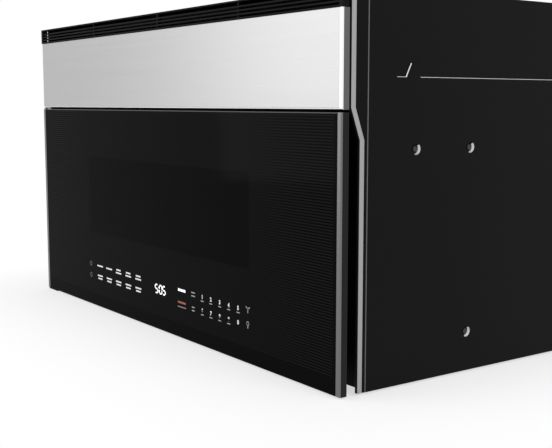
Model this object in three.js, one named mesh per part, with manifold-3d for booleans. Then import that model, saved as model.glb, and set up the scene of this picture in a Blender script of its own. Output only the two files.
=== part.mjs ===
/*
 * Over the range microwave, built in between two wall cabinets above a cooktop.
 * Millimetres. +Z is up, X runs to the right and Y from the front to the wall.
 * The origin is the middle of the footprint, at the level of the underside.
 */
import * as THREE from 'three';
import { mergeVertices } from 'three/addons/utils/BufferGeometryUtils.js';
import Module from 'manifold-3d';

const wasm = await Module();
wasm.setup();

// ---------------------------------------------------------------- driving sizes

// Case
const WIDTH = 759;
const DEPTH = 400;
const HEIGHT = 417.5;
const SHEET = 1.2; // steel sheet of the case
const SEAT = 0.3; // gap kept where two pieces touch
const CASE_SKIRT = 2.4; // height of the lower edge of the side panels
const SHOULDER_DROP = 88.1; // from the top of the case to the shoulder of the side panels
const SHOULDER = 1.8; // how far the upper case steps in from the side panels
const SHOULDER_SETBACK = 73; // the side panels are full height ahead of this line
const FACE_SETBACK = 35; // from the front to the face of the cavity
const PANEL_SETBACK = 33.2; // from the front to the side panels
const TAB_SETBACK = 85; // tab that stands up from the shoulder of a side panel
const TAB_WIDTH = 20.6;
const TAB_HEIGHT = 14;
const TAB_LEAN = 7; // how far its front edge leans back
const DIMPLE_RADIUS = 6.4; // pressed dimples for the side screws
const DIMPLE_FLOOR = 4.6; // radius at the bottom of a dimple
const DIMPLE_DEPTH = 2.6;
const DIMPLE_HOLE = 2.1;
const DIMPLE_SETBACK = 181.8; // from the front to the rear dimples
const DIMPLE_SPACING = 81.2; // from the rear dimples to the front one
const DIMPLE_DROP = 75.1; // from the shoulder to the upper dimples
const DIMPLE_RISE = 45.3; // from the lower edge to the lower dimple
const CORD_HOLE = 11; // radius
const CORD_FROM_SIDE = 110;
const CORD_FROM_BACK = 70;
const GROMMET_WALL = 3;
const GROMMET_LIP = 4;
const GROMMET_DEPTH = 3; // below the sheet
const HANGER_SLOTS = 4;
const HANGER_SLOT_WIDTH = 44;
const HANGER_SLOT_HEIGHT = 6;
const HANGER_SLOT_RISE = 12;
const FLANGE = 10; // upturned or downturned edge of an inner floor
const DUCT_SETBACK = 30; // from the front and the back to the left duct's outlet

// Door
const DOOR_BOTTOM = 1.9;
const DOOR_EDGE = 9.3; // depth of the door along its outer edge
const EDGE_TRIM = 7.8; // width of the upright trims
const GLASS = 4;
const GLASS_BEVEL = 1.2;
const WINDOW_WIDTH = 426;
const WINDOW_HEIGHT = 111;
const WINDOW_RISE = 111; // from the lower edge of the door to the window
const CHOKE_DEPTH = 21;
const CHOKE_OVERLAP = 30; // how far the choke reaches past the cavity opening
const CHOKE_CHANNEL = 20;
const CHOKE_PITCH = 44;
const CHOKE_SLOT = 7;
const DOOR_SHEET = 1;
const COVER_LIP = 4;
const PANE = 2;
const SCREEN = 0.6;
const SCREEN_LAP = 8; // how far the screen reaches past the window
const PANE_LAP = 14;
const TOUCH_WIDTH = 440;
const TOUCH_LOW = 34; // above the lower edge of the door
const TOUCH_HIGH = 86;

// Fascia and upper vent
const FASCIA_GAP = 2.5; // between the door and the fascia
const FASCIA_HEIGHT = 100;
const FASCIA_DEPTH = 8.9;
const FASCIA_SHEET = 1;
const VENT_GAP = 0.5; // between the fascia and the vent grille
const VENT_HEIGHT = 21.4;
const VENT_SLATS = 3;
const VENT_POSTS = 3;
const POST = 3;
const SLAT = 2;
const SLAT_RAKE = 2;
const GRILLE_DEPTH = 8;
const PLASTIC = 2;
const CHARCOAL_WIDTH = 330;
const CHARCOAL_DEPTH = 13;
const CHARCOAL_CELLS = 6;
const CHARCOAL_BORDER = 5;
const OUTLET_FROM_SIDE = 60; // opening in the front frame behind the filter
const OUTLET_RISE = 14;
const OUTLET_DROP = 20;

// Edge strips beside the finger pocket
const STRIP_WIDTH = 7;
const STRIP_THICKNESS = 4;
const STRIP_UPPER = 10.9; // set back of the strip from the front, above the bend
const STRIP_LOWER = 22.6; // and below it
const BEND_OVERLAP = 2.3; // how far the bend ends above the lower edge of the fascia
const BEND_HEIGHT = 33;
const TRIM_THICKNESS = 3.5;
const TRIM_LEG = 13;

// Cavity
const DUCT_WIDTH = 78; // air duct between the left side and the cavity
const BAY_WIDTH = 156; // component bay on the right
const CAVITY_SHEET = 1;
const CAVITY_FLOOR = 54;
const CAVITY_CROWN = 19.1; // from the ceiling of the cavity to the top of the door
const CAVITY_BACK_GAP = 36;
const WELL_DEPTH = 4;
const WELL_MARGIN = 3.5;
const SHAFT_HOLE = 7;
const GUIDE_DEPTH = 25; // waveguide on the right wall
const GUIDE_SHEET = 1.2;
const GUIDE_RISE = 96; // above the floor of the cavity
const GUIDE_HEIGHT = 80;
const GUIDE_FROM_BACK = 98; // behind it, to the back of the cavity
const GUIDE_LENGTH = 96;
const PORT_WIDTH = 44;
const PORT_HEIGHT = 64;
const PORT_INSET = 8; // from the front end and the lower side of the waveguide
const PORT_LAP = 8; // how far the mica sheet reaches past the port
const MICA = 0.6;
const LAMP_FROM_BACK = 60; // cavity lamp
const LAMP_FROM_TOP = 30;
const LAMP_BOX = 34;
const LAMP_GRID = 8; // pitch of its nine holes
const LAMP_HOLE = 5;

// Turntable
const TRAY_MARGIN = 8.5;
const TRAY_THICKNESS = 5;
const TRAY_RIM = 13;
const ROLLER_RADIUS = 7;
const ROLLER_WIDTH = 7;
const TRACK_RADIUS = 112;
const RING_SECTION = 5;
const AXLE_RADIUS = 1.6;
const COUPLER_RADIUS = 11;
const SHAFT_RADIUS = 3.5;
const DRIVE_RADIUS = 24.5; // motor under the cavity
const DRIVE_HEIGHT = 18;
const DRIVE_EARS = 68;
const DRIVE_EAR_WIDTH = 12;
const DRIVE_EAR = 2;
const DRIVE_PLUG = [18, 13, 12]; // width, depth and height of its connector
const DRIVE_PLUG_OUT = 18; // from the shaft to the connector
const DRIVE_PLUG_DROP = 4;

// Blower of the hood
const WHEEL_RADIUS = 42;
const WHEEL_LENGTH = 74;
const WHEEL_BLADES = 18;
const BLADE_DEPTH = 9;
const BLADE_THICKNESS = 1.4;
const SCROLL_GAP = 5; // narrowest gap between wheel and scroll
const SCROLL_GROWTH = 8; // how much the gap grows over the turn
const SCROLL_WALL = 1.6;
const INLET_RADIUS = 36;
const MOTOR_RADIUS = 40;
const MOTOR_LENGTH = 62;
const MOTOR_GAP = 8;
const BLOWER_SHAFT = 4;
const BLOWER_BACK_GAP = 74; // from the wall side to the blower shaft

// Cooling fan of the component bay
const FAN_SIZE = 112;
const FAN_DEPTH = 26;
const FAN_RADIUS = 50;
const FAN_BLADES = 5;
const FAN_HUB = 15;
const FAN_BLADE = 1.6;
const FAN_CHORD = 30;
const FAN_TWIST = 0.45; // radians
const FAN_MIDDLE = 8; // from the front of the frame to the middle of the blades
const FAN_MOTOR_RADIUS = 17;
const FAN_MOTOR_INSET = 10; // from the back of the frame to the front of the motor
const FAN_MOTOR_OUT = 4;
const FAN_ARM = 3;
const FAN_FROM_BACK = 44;
const FAN_CLEAR = 8; // from the cavity to the fan

// Power parts of the component bay
const ANTENNA_RADIUS = 9;
const ANTENNA_INSET = 26; // from the rear end of the waveguide
const MAGNETRON_LENGTH = 63.6;
const MAGNETRON_PLATE = 92;
const MAGNETRON_WIDTH = 80;
const MAGNETRON_HEIGHT = 68;
const YOKE = 1.6;
const ANODE_RADIUS = 20;
const FIN_COUNT = 6;
const FIN_SPREAD = 42;
const TERMINAL = 28;
const TERMINAL_DEPTH = 19;
const CORE_WIDTH = 86; // high voltage transformer
const CORE_DEPTH = 74;
const CORE_HEIGHT = 66;
const CORE_LIMB = 14;
const COIL_STANDOFF = 12;
const CAN_RADIUS = 15; // capacitor
const CAN_SPREAD = 24;
const CAN_HEIGHT = 82;
const CAN_FROM_CAVITY = 62;
const CAN_BEHIND_MIDDLE = 60;
const CAN_FOOT = 68;
const TAG_RADIUS = 4; // terminals on top of the can
const TAG_HEIGHT = 8;
const BOARD_HEIGHT = 120;
const BOARD_LENGTH = 130;
const BOARD_SHEET = 1.6;
const BOARD_STANDOFF = 12;
const BOARD_SETBACK = 48;
const BOARD_RISE = 60;
const RELAY_COUNT = 4;
const RELAY = [16, 20, 26]; // height off the board, width and length
const RELAY_PITCH = 28;
const SUPPLY = [26, 38, 34]; // small transformer of the board

// Underside
const PAN_RIM = 26; // raised rim round the lowered middle of the base pan
const FILTER_DEPTH = 140;
const FILTER_THICKNESS = 6;
const FILTER_BORDER = 9;
const FILTER_CELLS = 8;
const FILTER_FROM_BACK = 58;
const FILTER_FROM_SIDE = 50;
const FILTER_FROM_CENTRE = 52;
const LAMP_WIDTH = 116;
const LAMP_DEPTH = 58;
const LAMP_FROM_FRONT = 82;
const LIP = 6; // lip that a filter or a lens closes against
const LEAF_RISE = 0.9; // filters and lens above the underside
const LENS = 3;
const LENS_RIM = 5;
const LENS_FLOOR = 1.4;
const CELL_ROWS = 3;
const CELL_WALL = 2;
const LIGHTS = 3;
const LIGHT_RADIUS = 8;
const LIGHT_BOX = 14;
const LEAF_GAP = 0.6; // running gap round a leaf that swings

// Latch
const LATCH_THICKNESS = 4;
const LATCH_LIFT = 4;
const LATCH_FROM_EDGE = 46;
const HOOK_REACH = 24; // how far the hooks reach behind the face
const LOWER_HOOK = 78;
const UPPER_HOOK_DROP = 61.1; // from the top of the door
const HOOK_HEIGHT = 12;
const LATCH_SLOT_WIDTH = 11;
const LATCH_SLOT_CLEAR = 3.5;
const LATCH_BAR = 10; // depth of the slider
const LATCH_SIDE = 12; // from the latch to the right side of its cover
const PLUNGER_RADIUS = 2;
const PLUNGER_TRAVEL = 1.8;

// Hinges
const HINGE_SHEET = 1.4;
const PIN_RADIUS = 1.75;
const PIN_LENGTH = 12;
const BORE_GAP = 0.35;
const HINGE_FLANGE = 18;
const HINGE_LEG = 30;

// Latch board
const BOARD_SIDE = 3;
const BOARD_FLANGE = 14;
const BOARD_BELOW = 24; // below the lower hook
const BOARD_ABOVE = 28; // above the upper hook
const BOARD_BEHIND = 16; // behind a plunger that is pressed home
const SWITCH_DEPTH = 11;
const SWITCH_HALF = 9;
const SWITCH_BORE = 6;
const PLUNGER_REST = 3.6; // length inside its switch
const PLUNGER_SPARE = 1.4; // left of its length at the end of its travel
const MONITOR_RISE = 40; // above the lower hook

// ---------------------------------------------------------------- derived places

const HALF = WIDTH / 2;
const FRONT = -DEPTH / 2;
const BACK = DEPTH / 2;
const ventBottom = HEIGHT - VENT_HEIGHT;
const fasciaTop = ventBottom - VENT_GAP;
const fasciaBottom = fasciaTop - FASCIA_HEIGHT;
const doorTop = fasciaBottom - FASCIA_GAP;
const doorBack = FRONT + DOOR_EDGE;
const shoulder = HEIGHT - SHOULDER_DROP;
const faceY = FRONT + FACE_SETBACK;
const insideFace = faceY + SHEET + SEAT;
const panelFront = FRONT + PANEL_SETBACK;
const insidePanel = BACK - SHEET - SEAT;
const innerSide = HALF - SHEET - SEAT;
const upperSide = HALF - SHOULDER;
const cavityLeft = -HALF + DUCT_WIDTH;
const cavityRight = HALF - BAY_WIDTH;
const cavityBack = BACK - CAVITY_BACK_GAP;
const cavityTop = doorTop - CAVITY_CROWN;
const cavityMiddleX = (cavityLeft + cavityRight) / 2;
const cavityMiddleY = (insideFace + cavityBack) / 2;
const wellRadius = (cavityBack - insideFace) / 2 - WELL_MARGIN;
const wellFloor = CAVITY_FLOOR - WELL_DEPTH;
const trayRadius = wellRadius + WELL_MARGIN - TRAY_MARGIN;
const bayFloor = wellFloor;
const hoodFloor = doorTop - 3;
const doorInset = HALF - EDGE_TRIM - SEAT;
const windowBottom = DOOR_BOTTOM + WINDOW_RISE;
const windowTop = windowBottom + WINDOW_HEIGHT;
const chokeFront = doorBack + SEAT;
const chokeBack = chokeFront + CHOKE_DEPTH;
const chokeLeft = cavityLeft - CHOKE_OVERLAP;
const chokeRight = cavityRight + CHOKE_OVERLAP;
const chokeBottom = CAVITY_FLOOR - CHOKE_OVERLAP;
const chokeTop = hoodFloor;
const hingeX = -HALF + EDGE_TRIM / 2;
const hingeY = FRONT + DOOR_EDGE / 2;
const latchX = HALF - LATCH_FROM_EDGE;
const upperHook = doorTop - UPPER_HOOK_DROP;
const latchCoverRight = latchX + LATCH_SIDE;
const blowerY = BACK - BLOWER_BACK_GAP;
const scrollReach = WHEEL_RADIUS + SCROLL_GAP + SCROLL_GROWTH + SCROLL_WALL;
const blowerZ = hoodFloor + SHEET + SEAT + scrollReach;

// ---------------------------------------------------------------- finishes

/** A finish as a MeshStandardMaterial of its own. */
function finish(color, roughness, metalness) {
  return () => new THREE.MeshStandardMaterial({ color, roughness, metalness });
}

const blackSheet = finish(0x1c1d1f, 0.5, 0.2);
const blackPlastic = finish(0x121213, 0.55, 0);
const brushedSteel = finish(0xcfd0d2, 0.32, 1);
const satinTrim = finish(0x8a8c90, 0.35, 0.9);
const darkGlass = finish(0x08090a, 0.06, 0);
const clearGlass = finish(0xb9c6c4, 0.05, 0);
const greyEnamel = finish(0x74777a, 0.45, 0.1);
const zincSheet = finish(0xa3a6a8, 0.4, 0.9);
const aluminium = finish(0xb8babd, 0.42, 0.9);
const copperWire = finish(0x9a5a2c, 0.4, 0.9);
const greyPlastic = finish(0x55585c, 0.6, 0);
const whitePlastic = finish(0xd9d8d2, 0.55, 0);
const boardGreen = finish(0x2d5a3a, 0.6, 0);
const carbon = finish(0x1a1a1a, 0.95, 0);
const mica = finish(0x9b9684, 0.6, 0);
const lampLens = finish(0xe6ecec, 0.2, 0);
const rubber = finish(0x0e0e0e, 0.8, 0);

// ---------------------------------------------------------------- solids

/** The closed solid of a geometry, ready to be joined or cut. */
function solidOf(geometry) {
  const bare = geometry.clone();
  bare.deleteAttribute('normal');
  bare.deleteAttribute('uv');
  const merged = mergeVertices(bare, 1e-4);
  const corners = merged.index.array;
  const kept = [];
  for (let i = 0; i < corners.length; i += 3) {
    const [a, b, c] = [corners[i], corners[i + 1], corners[i + 2]];
    if (a !== b && b !== c && c !== a) {
      kept.push(a, b, c);
    }
  }
  return new wasm.Manifold(new wasm.Mesh({
    numProp: 3,
    vertProperties: new Float32Array(merged.attributes.position.array),
    triVerts: new Uint32Array(kept),
  }));
}

/** The named mesh of a solid, in its own finish. */
function piece(name, solid, material) {
  const { numProp, vertProperties, triVerts } = solid.getMesh();
  const positions = new Float32Array(triVerts.length * 3);
  triVerts.forEach((vertex, i) => {
    positions.set(vertProperties.subarray(vertex * numProp, vertex * numProp + 3), i * 3);
  });
  const geometry = new THREE.BufferGeometry();
  geometry.setAttribute('position', new THREE.BufferAttribute(positions, 3));
  geometry.computeVertexNormals();
  const mesh = new THREE.Mesh(geometry, material());
  mesh.name = name;
  return mesh;
}

function join(...solids) {
  return solids.reduce((whole, next) => whole.add(next));
}

function cut(solid, ...tools) {
  return tools.reduce((whole, tool) => whole.subtract(tool), solid);
}

/** A box between two limits along each axis, given in either order. */
function box([x0, x1], [y0, y1], [z0, z1]) {
  const geometry = new THREE.BoxGeometry(Math.abs(x1 - x0), Math.abs(y1 - y0), Math.abs(z1 - z0));
  return solidOf(geometry.translate((x0 + x1) / 2, (y0 + y1) / 2, (z0 + z1) / 2));
}

function outline(points) {
  return new THREE.Shape(points.map(([u, v]) => new THREE.Vector2(u, v)));
}

function extruded(shape, depth, curveSegments = 12) {
  return new THREE.ExtrudeGeometry(shape, { depth, bevelEnabled: false, curveSegments });
}

/** A plan outline in X and Y, raised from z0 to z1. */
function plate(shape, [z0, z1], curveSegments) {
  return solidOf(extruded(shape, z1 - z0, curveSegments).translate(0, 0, z0));
}

/** A side outline in Y and Z, swept in X between two limits given in either order. */
function sidePlate(shape, [x0, x1], curveSegments) {
  const axes = new THREE.Matrix4().makeBasis(
    new THREE.Vector3(0, 1, 0), new THREE.Vector3(0, 0, 1), new THREE.Vector3(1, 0, 0));
  const geometry = extruded(shape, Math.abs(x1 - x0), curveSegments).applyMatrix4(axes);
  return solidOf(geometry.translate(Math.min(x0, x1), 0, 0));
}

/** A round bar along 'x', 'y' or 'z', centred on a point. */
function rod(axis, [x, y, z], radius, length, sides = 24) {
  const geometry = new THREE.CylinderGeometry(radius, radius, length, sides);
  if (axis === 'x') {
    geometry.rotateZ(Math.PI / 2);
  }
  if (axis === 'z') {
    geometry.rotateX(Math.PI / 2);
  }
  return solidOf(geometry.translate(x, y, z));
}

/** A profile of [radius, height] points turned about an axis through the origin. */
function turned(profile, axis = 'z', sides = 32) {
  const points = profile.map(([radius, height]) => new THREE.Vector2(radius, height));
  const geometry = new THREE.LatheGeometry(points, sides);
  if (axis === 'z') {
    geometry.rotateX(Math.PI / 2);
  }
  if (axis === 'x') {
    geometry.rotateZ(-Math.PI / 2);
  }
  return solidOf(geometry);
}

/** A turned ring of rectangular section between two radii and two heights. */
function ring(inner, outer, low, high, axis = 'z', sides = 32) {
  return turned([[inner, low], [outer, low], [outer, high], [inner, high], [inner, low]], axis, sides);
}

/** A pan with thin walls: the outer box less a pocket that is open at one face. */
function shell(outer, wall, open) {
  const [x, y, z] = outer.map(([low, high]) => [low + wall, high - wall]);
  const pocket = { x, y, z };
  const [axis, end] = open;
  const limits = outer['xyz'.indexOf(axis)];
  pocket[axis] = end > 0 ? [limits[0] + wall, limits[1] + wall] : [limits[0] - wall, limits[1] - wall];
  return cut(box(...outer), box(pocket.x, pocket.y, pocket.z));
}

// ---------------------------------------------------------------- case

const dimpleY = FRONT + DIMPLE_SETBACK;
const upperDimple = shoulder - DIMPLE_DROP;
const screwDimples = [
  [dimpleY, upperDimple], [dimpleY - DIMPLE_SPACING, upperDimple], [dimpleY, CASE_SKIRT + DIMPLE_RISE],
];

/** One side panel: full height at the front, a shoulder behind it, three pressed screw dimples. */
function sidePanel(name, side) {
  const shoulderFront = FRONT + SHOULDER_SETBACK;
  const tabFront = FRONT + TAB_SETBACK;
  const tabTop = shoulder + TAB_HEIGHT;
  const shape = outline([
    [panelFront, CASE_SKIRT], [insidePanel, CASE_SKIRT], [insidePanel, shoulder],
    [tabFront + TAB_WIDTH, shoulder], [tabFront + TAB_WIDTH, tabTop], [tabFront + TAB_LEAN, tabTop],
    [tabFront, shoulder], [shoulderFront, shoulder], [shoulderFront, HEIGHT], [panelFront, HEIGHT],
  ]);
  let panel = sidePlate(shape, [side * (HALF - SHEET), side * HALF]);
  const depth = DIMPLE_DEPTH + SHEET;
  const dish = turned([
    [0, -DIMPLE_DEPTH], [DIMPLE_FLOOR, -DIMPLE_DEPTH], [DIMPLE_RADIUS, 0], [DIMPLE_RADIUS, 1], [0, 1],
  ], 'x', 16);
  const hollow = side > 0 ? dish : dish.rotate([0, 0, 180]);
  for (const [y, z] of screwDimples) {
    const cup = rod('x', [side * (HALF - depth / 2), y, z], DIMPLE_RADIUS + SHEET, depth, 16);
    const hole = rod('x', [side * HALF, y, z], DIMPLE_HOLE, 2 * depth + 2, 8);
    panel = cut(panel.add(cup), hollow.translate([side * HALF, y, z]), hole);
  }
  return piece(name, panel, blackSheet);
}

/** Room for the backs of the screw dimples of one side panel. */
function dimpleRoom(side) {
  const depth = DIMPLE_DEPTH + SHEET + 2 * SEAT;
  return screwDimples.map(([y, z]) => rod(
    'x', [side * (HALF - depth / 2), y, z], DIMPLE_RADIUS + SHEET + 2 * SEAT, depth, 20));
}

const cordX = HALF - CORD_FROM_SIDE;
const cordY = BACK - CORD_FROM_BACK;

/** The upper case: a channel over the hood, stepped in from the side panels. */
function topCover() {
  const low = hoodFloor + SHEET + 4;
  const cover = join(
    box([-upperSide, upperSide], [insideFace, insidePanel], [HEIGHT - SHEET, HEIGHT]),
    box([-upperSide, SHEET - upperSide], [insideFace, insidePanel], [low, HEIGHT]),
    box([upperSide - SHEET, upperSide], [insideFace, insidePanel], [low, HEIGHT]));
  const cordHole = rod('z', [cordX, cordY, HEIGHT], CORD_HOLE, 4 * SHEET, 20);
  return piece('top_cover', cut(cover, cordHole), blackSheet);
}

/** The grommet that lines the hole for the supply cord in the top of the case. */
function cordGrommet() {
  const inner = CORD_HOLE - GROMMET_WALL;
  const lip = CORD_HOLE + GROMMET_LIP;
  const neck = CORD_HOLE - SEAT;
  const upper = -SHEET - SEAT;
  const lower = upper - GROMMET_DEPTH;
  const profile = [
    [inner, lower], [lip, lower], [lip, upper], [neck, upper], [neck, -0.01], [inner, -0.01], [inner, lower],
  ];
  const grommet = piece('cord_grommet', turned(profile, 'z', 20), rubber);
  grommet.position.set(cordX, cordY, HEIGHT);
  return grommet;
}

/** The back panel, with the slots along its lower edge that hang on the hooks of the wall plate. */
function backPanel() {
  let panel = box([-HALF, HALF], [BACK - SHEET, BACK], [CASE_SKIRT, HEIGHT]);
  for (let i = 0; i < HANGER_SLOTS; i += 1) {
    const x = -HALF + (i + 0.5) * (WIDTH / HANGER_SLOTS);
    const half = HANGER_SLOT_WIDTH / 2;
    const low = CASE_SKIRT + HANGER_SLOT_RISE;
    panel = cut(panel, box([x - half, x + half], [BACK - 4, BACK + 4], [low, low + HANGER_SLOT_HEIGHT]));
  }
  return piece('back_panel', panel, zincSheet);
}

/** Height limits of the slot that takes a hook at height z, with room for its lift. */
function hookSlot(z) {
  return [z - HOOK_HEIGHT / 2 - LATCH_SLOT_CLEAR, z + HOOK_HEIGHT / 2 + LATCH_LIFT + LATCH_SLOT_CLEAR];
}

/** The front frame: the face round the cavity, with latch slots and the outlet of the hood. */
function frontFrame() {
  const through = [faceY - 5, faceY + SHEET + 5];
  const outletSide = HALF - OUTLET_FROM_SIDE;
  const height = [CASE_SKIRT + SHEET + SEAT, HEIGHT - SHEET - SEAT];
  let frame = cut(
    box([-innerSide, innerSide], [faceY, faceY + SHEET], height),
    box([cavityLeft, cavityRight], through, [CAVITY_FLOOR, cavityTop]),
    box([-outletSide, outletSide], through, [fasciaBottom + OUTLET_RISE, HEIGHT - OUTLET_DROP]));
  for (const z of [LOWER_HOOK, upperHook]) {
    const slot = [latchX - LATCH_SLOT_WIDTH / 2, latchX + LATCH_SLOT_WIDTH / 2 + 2];
    frame = cut(frame, box(slot, through, hookSlot(z)));
  }
  return piece('front_frame', frame, blackSheet);
}

const bendTop = fasciaBottom + BEND_OVERLAP;

/** Points up the front of the edge strip, moved back by an offset. */
function stripPath(offset) {
  const lower = FRONT + STRIP_LOWER + offset;
  const upper = FRONT + STRIP_UPPER + offset;
  return [[lower, CASE_SKIRT], [lower, bendTop - BEND_HEIGHT], [upper, bendTop], [upper, HEIGHT]];
}

/** The bright strip that edges the finger pocket and bends forward to the fascia. */
function edgeStrip(name, side) {
  const shape = outline([...stripPath(0), ...stripPath(STRIP_WIDTH).reverse()]);
  return piece(name, sidePlate(shape, [side * (HALF - STRIP_THICKNESS), side * HALF]), satinTrim);
}

/** The dark side trim behind the strip, with a leg that screws to the front frame. */
function sideTrim(name, side) {
  const rear = panelFront - SEAT;
  const shape = outline([
    ...stripPath(STRIP_WIDTH + SEAT), [rear, HEIGHT], [rear, CASE_SKIRT],
  ].reverse());
  const outer = innerSide;
  const seat = faceY - SEAT;
  const height = [CASE_SKIRT + SHEET + SEAT, HEIGHT - SHEET - SEAT];
  const trim = join(
    sidePlate(shape, [side * (HALF - TRIM_THICKNESS), side * HALF]),
    box([side * (HALF - TRIM_THICKNESS), side * outer], [rear - 2, seat], height),
    box([side * (HALF - TRIM_LEG), side * outer], [seat - SHEET, seat], height));
  return piece(name, trim, blackPlastic);
}

/** The stainless fascia: a shallow pan above the door. */
function fascia() {
  const outer = [[-HALF, HALF], [FRONT, FRONT + FASCIA_DEPTH], [fasciaBottom, fasciaTop]];
  return piece('fascia', shell(outer, FASCIA_SHEET, ['y', 1]), brushedSteel);
}

const carrierSide = HALF - STRIP_THICKNESS - SEAT;
const carrierLow = fasciaBottom + VENT_GAP;
const carrierBack = faceY - SEAT;

/** The carrier behind the fascia: a box open to the hood behind and to the vent grille in front. */
function ventCarrier() {
  const front = FRONT + FASCIA_DEPTH + SEAT;
  const back = carrierBack;
  const low = carrierLow;
  const carrier = join(
    box([-carrierSide, carrierSide], [front, back], [low, low + PLASTIC]),
    box([-carrierSide, carrierSide], [front, front + PLASTIC], [low, fasciaTop]),
    box([-carrierSide, PLASTIC - carrierSide], [front, back], [low, HEIGHT]),
    box([carrierSide - PLASTIC, carrierSide], [front, back], [low, HEIGHT]),
    box([-carrierSide, carrierSide], [FRONT + GRILLE_DEPTH + SEAT, back], [HEIGHT - PLASTIC, HEIGHT]));
  const leg = TRIM_LEG - STRIP_THICKNESS + SEAT;
  const notch = side => box(
    [side * (carrierSide - leg), side * (carrierSide + 1)],
    [back - SHEET - 2 * SEAT, back + 1], [low - 1, HEIGHT + 1]);
  return piece('vent_carrier', cut(carrier, notch(1), notch(-1)), blackPlastic);
}

/** The vent grille: raked slats and posts in a frame. */
function ventGrille() {
  const back = FRONT + GRILLE_DEPTH;
  const frame = cut(
    box([-HALF, HALF], [FRONT, back], [ventBottom, HEIGHT]),
    box([-HALF + 6, HALF - 6], [FRONT - 1, back + 1], [ventBottom + SLAT, HEIGHT - SLAT]));
  const bars = [frame];
  const pitch = (VENT_HEIGHT - 2 * SLAT) / (VENT_SLATS + 1);
  for (let i = 1; i <= VENT_SLATS; i += 1) {
    const z = ventBottom + SLAT + i * pitch;
    const low = z - SLAT / 2;
    const high = z + SLAT / 2;
    const rise = SLAT_RAKE / 2;
    const slat = outline([
      [FRONT + 0.8, low - rise], [back - 0.5, low + rise],
      [back - 0.5, high + rise], [FRONT + 0.8, high - rise],
    ]);
    bars.push(sidePlate(slat, [-HALF + 5, HALF - 5]));
  }
  for (let i = 1; i <= VENT_POSTS; i += 1) {
    const x = -HALF + (i * WIDTH) / (VENT_POSTS + 1);
    bars.push(box([x - POST / 2, x + POST / 2], [FRONT + 2, back], [ventBottom + 1, HEIGHT - 1]));
  }
  return piece('vent_grille', join(...bars), blackPlastic);
}

/** The charcoal filter that stands in the carrier, a bed of granules behind an open frame. */
function charcoalFilter() {
  const low = carrierLow + PLASTIC + SEAT;
  const high = HEIGHT - PLASTIC - SEAT;
  const back = carrierBack - 1;
  const front = back - CHARCOAL_DEPTH;
  const half = CHARCOAL_WIDTH / 2;
  let filter = box([-half, half], [front, back], [low, high]);
  const pitch = (CHARCOAL_WIDTH - 2 * CHARCOAL_BORDER) / CHARCOAL_CELLS;
  for (let i = 0; i < CHARCOAL_CELLS; i += 1) {
    const x = -half + CHARCOAL_BORDER + i * pitch;
    for (const [y0, y1] of [[front - 1, front + 3], [back - 3, back + 1]]) {
      filter = cut(filter, box([x + 3, x + pitch - 3], [y0, y1], [low + 8, high - 8]));
    }
  }
  return piece('charcoal_filter', filter, carbon);
}

/** The hood floor: closes the cooking unit from the blower, open above the left duct. */
function hoodFloorPlate() {
  const side = upperSide - SHEET - SEAT;
  const sheet = box([-side, side], [insideFace, insidePanel], [hoodFloor, hoodFloor + SHEET]);
  const duct = box(
    [-side + 8, cavityLeft - 6], [insideFace + DUCT_SETBACK, insidePanel - DUCT_SETBACK],
    [hoodFloor - 2, hoodFloor + 4]);
  return piece('hood_floor', cut(sheet, duct), zincSheet);
}

/** The floor of the component bay, above the lower air chamber. */
function bayFloorPlate() {
  const left = cavityRight + CAVITY_SHEET + SEAT;
  const flange = [bayFloor - FLANGE, bayFloor + SHEET];
  const floor = join(
    box([left, innerSide], [insideFace, insidePanel], [bayFloor, bayFloor + SHEET]),
    box([innerSide - SHEET, innerSide], [insideFace, insidePanel], flange),
    box([left, innerSide], [insideFace, insideFace + SHEET], flange),
    box([left, innerSide], [insidePanel - SHEET, insidePanel], flange));
  return piece('bay_floor', cut(floor, ...dimpleRoom(1)), zincSheet);
}

// ---------------------------------------------------------------- underside

const panFloor = CASE_SKIRT; // height of the raised rim of the base pan
const filterBack = BACK - FILTER_FROM_BACK;
const filterFront = filterBack - FILTER_DEPTH;
const filterInner = FILTER_FROM_CENTRE;
const filterOuter = HALF - FILTER_FROM_SIDE;
const lampFront = FRONT + LAMP_FROM_FRONT;
const lampBack = lampFront + LAMP_DEPTH;
const leafTop = LEAF_RISE + FILTER_THICKNESS;
const lensTop = LEAF_RISE + LENS;

/** A well in the base pan: walls round an opening and a lip above the leaf that closes it. */
function panWell([x0, x1], [y0, y1], top) {
  const wall = cut(
    box([x0 - SHEET, x1 + SHEET], [y0 - SHEET, y1 + SHEET], [0, top]),
    box([x0, x1], [y0, y1], [-1, top + 1]));
  const lip = cut(
    box([x0 - SHEET, x1 + SHEET], [y0 - SHEET, y1 + SHEET], [top - SHEET, top]),
    box([x0 + LIP, x1 - LIP], [y0 + LIP, y1 - LIP], [top - SHEET - 1, top + 1]));
  return { body: wall.add(lip), hole: box([x0, x1], [y0, y1], [-1, top - SHEET]) };
}

/** The base pan, lowered inside its rim, with wells for the two filters and the cooktop lamp. */
function basePan() {
  const rim = [[-innerSide, innerSide], [insideFace, insidePanel]];
  const low = [[-innerSide + PAN_RIM, innerSide - PAN_RIM], [insideFace + PAN_RIM, insidePanel - PAN_RIM]];
  const inside = low.map(([a, b]) => [a + SHEET, b - SHEET]);
  const plateTop = [panFloor, panFloor + SHEET];
  let pan = join(
    cut(box(...rim, plateTop), box(...low, [panFloor - 1, panFloor + SHEET + 1])),
    cut(box(...low, [0, panFloor + SHEET]), box(...inside, [SHEET, panFloor + SHEET + 1])));
  const leafSeat = leafTop + SEAT + SHEET;
  const lampSeat = lensTop + SEAT + SHEET;
  const wells = [
    panWell([filterInner, filterOuter], [filterFront, filterBack], leafSeat),
    panWell([-filterOuter, -filterInner], [filterFront, filterBack], leafSeat),
    panWell([-LAMP_WIDTH / 2, LAMP_WIDTH / 2], [lampFront, lampBack], lampSeat),
  ];
  for (const { body, hole } of wells) {
    pan = cut(pan.add(body), hole);
  }
  return piece('base_pan', pan, blackSheet);
}

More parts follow.
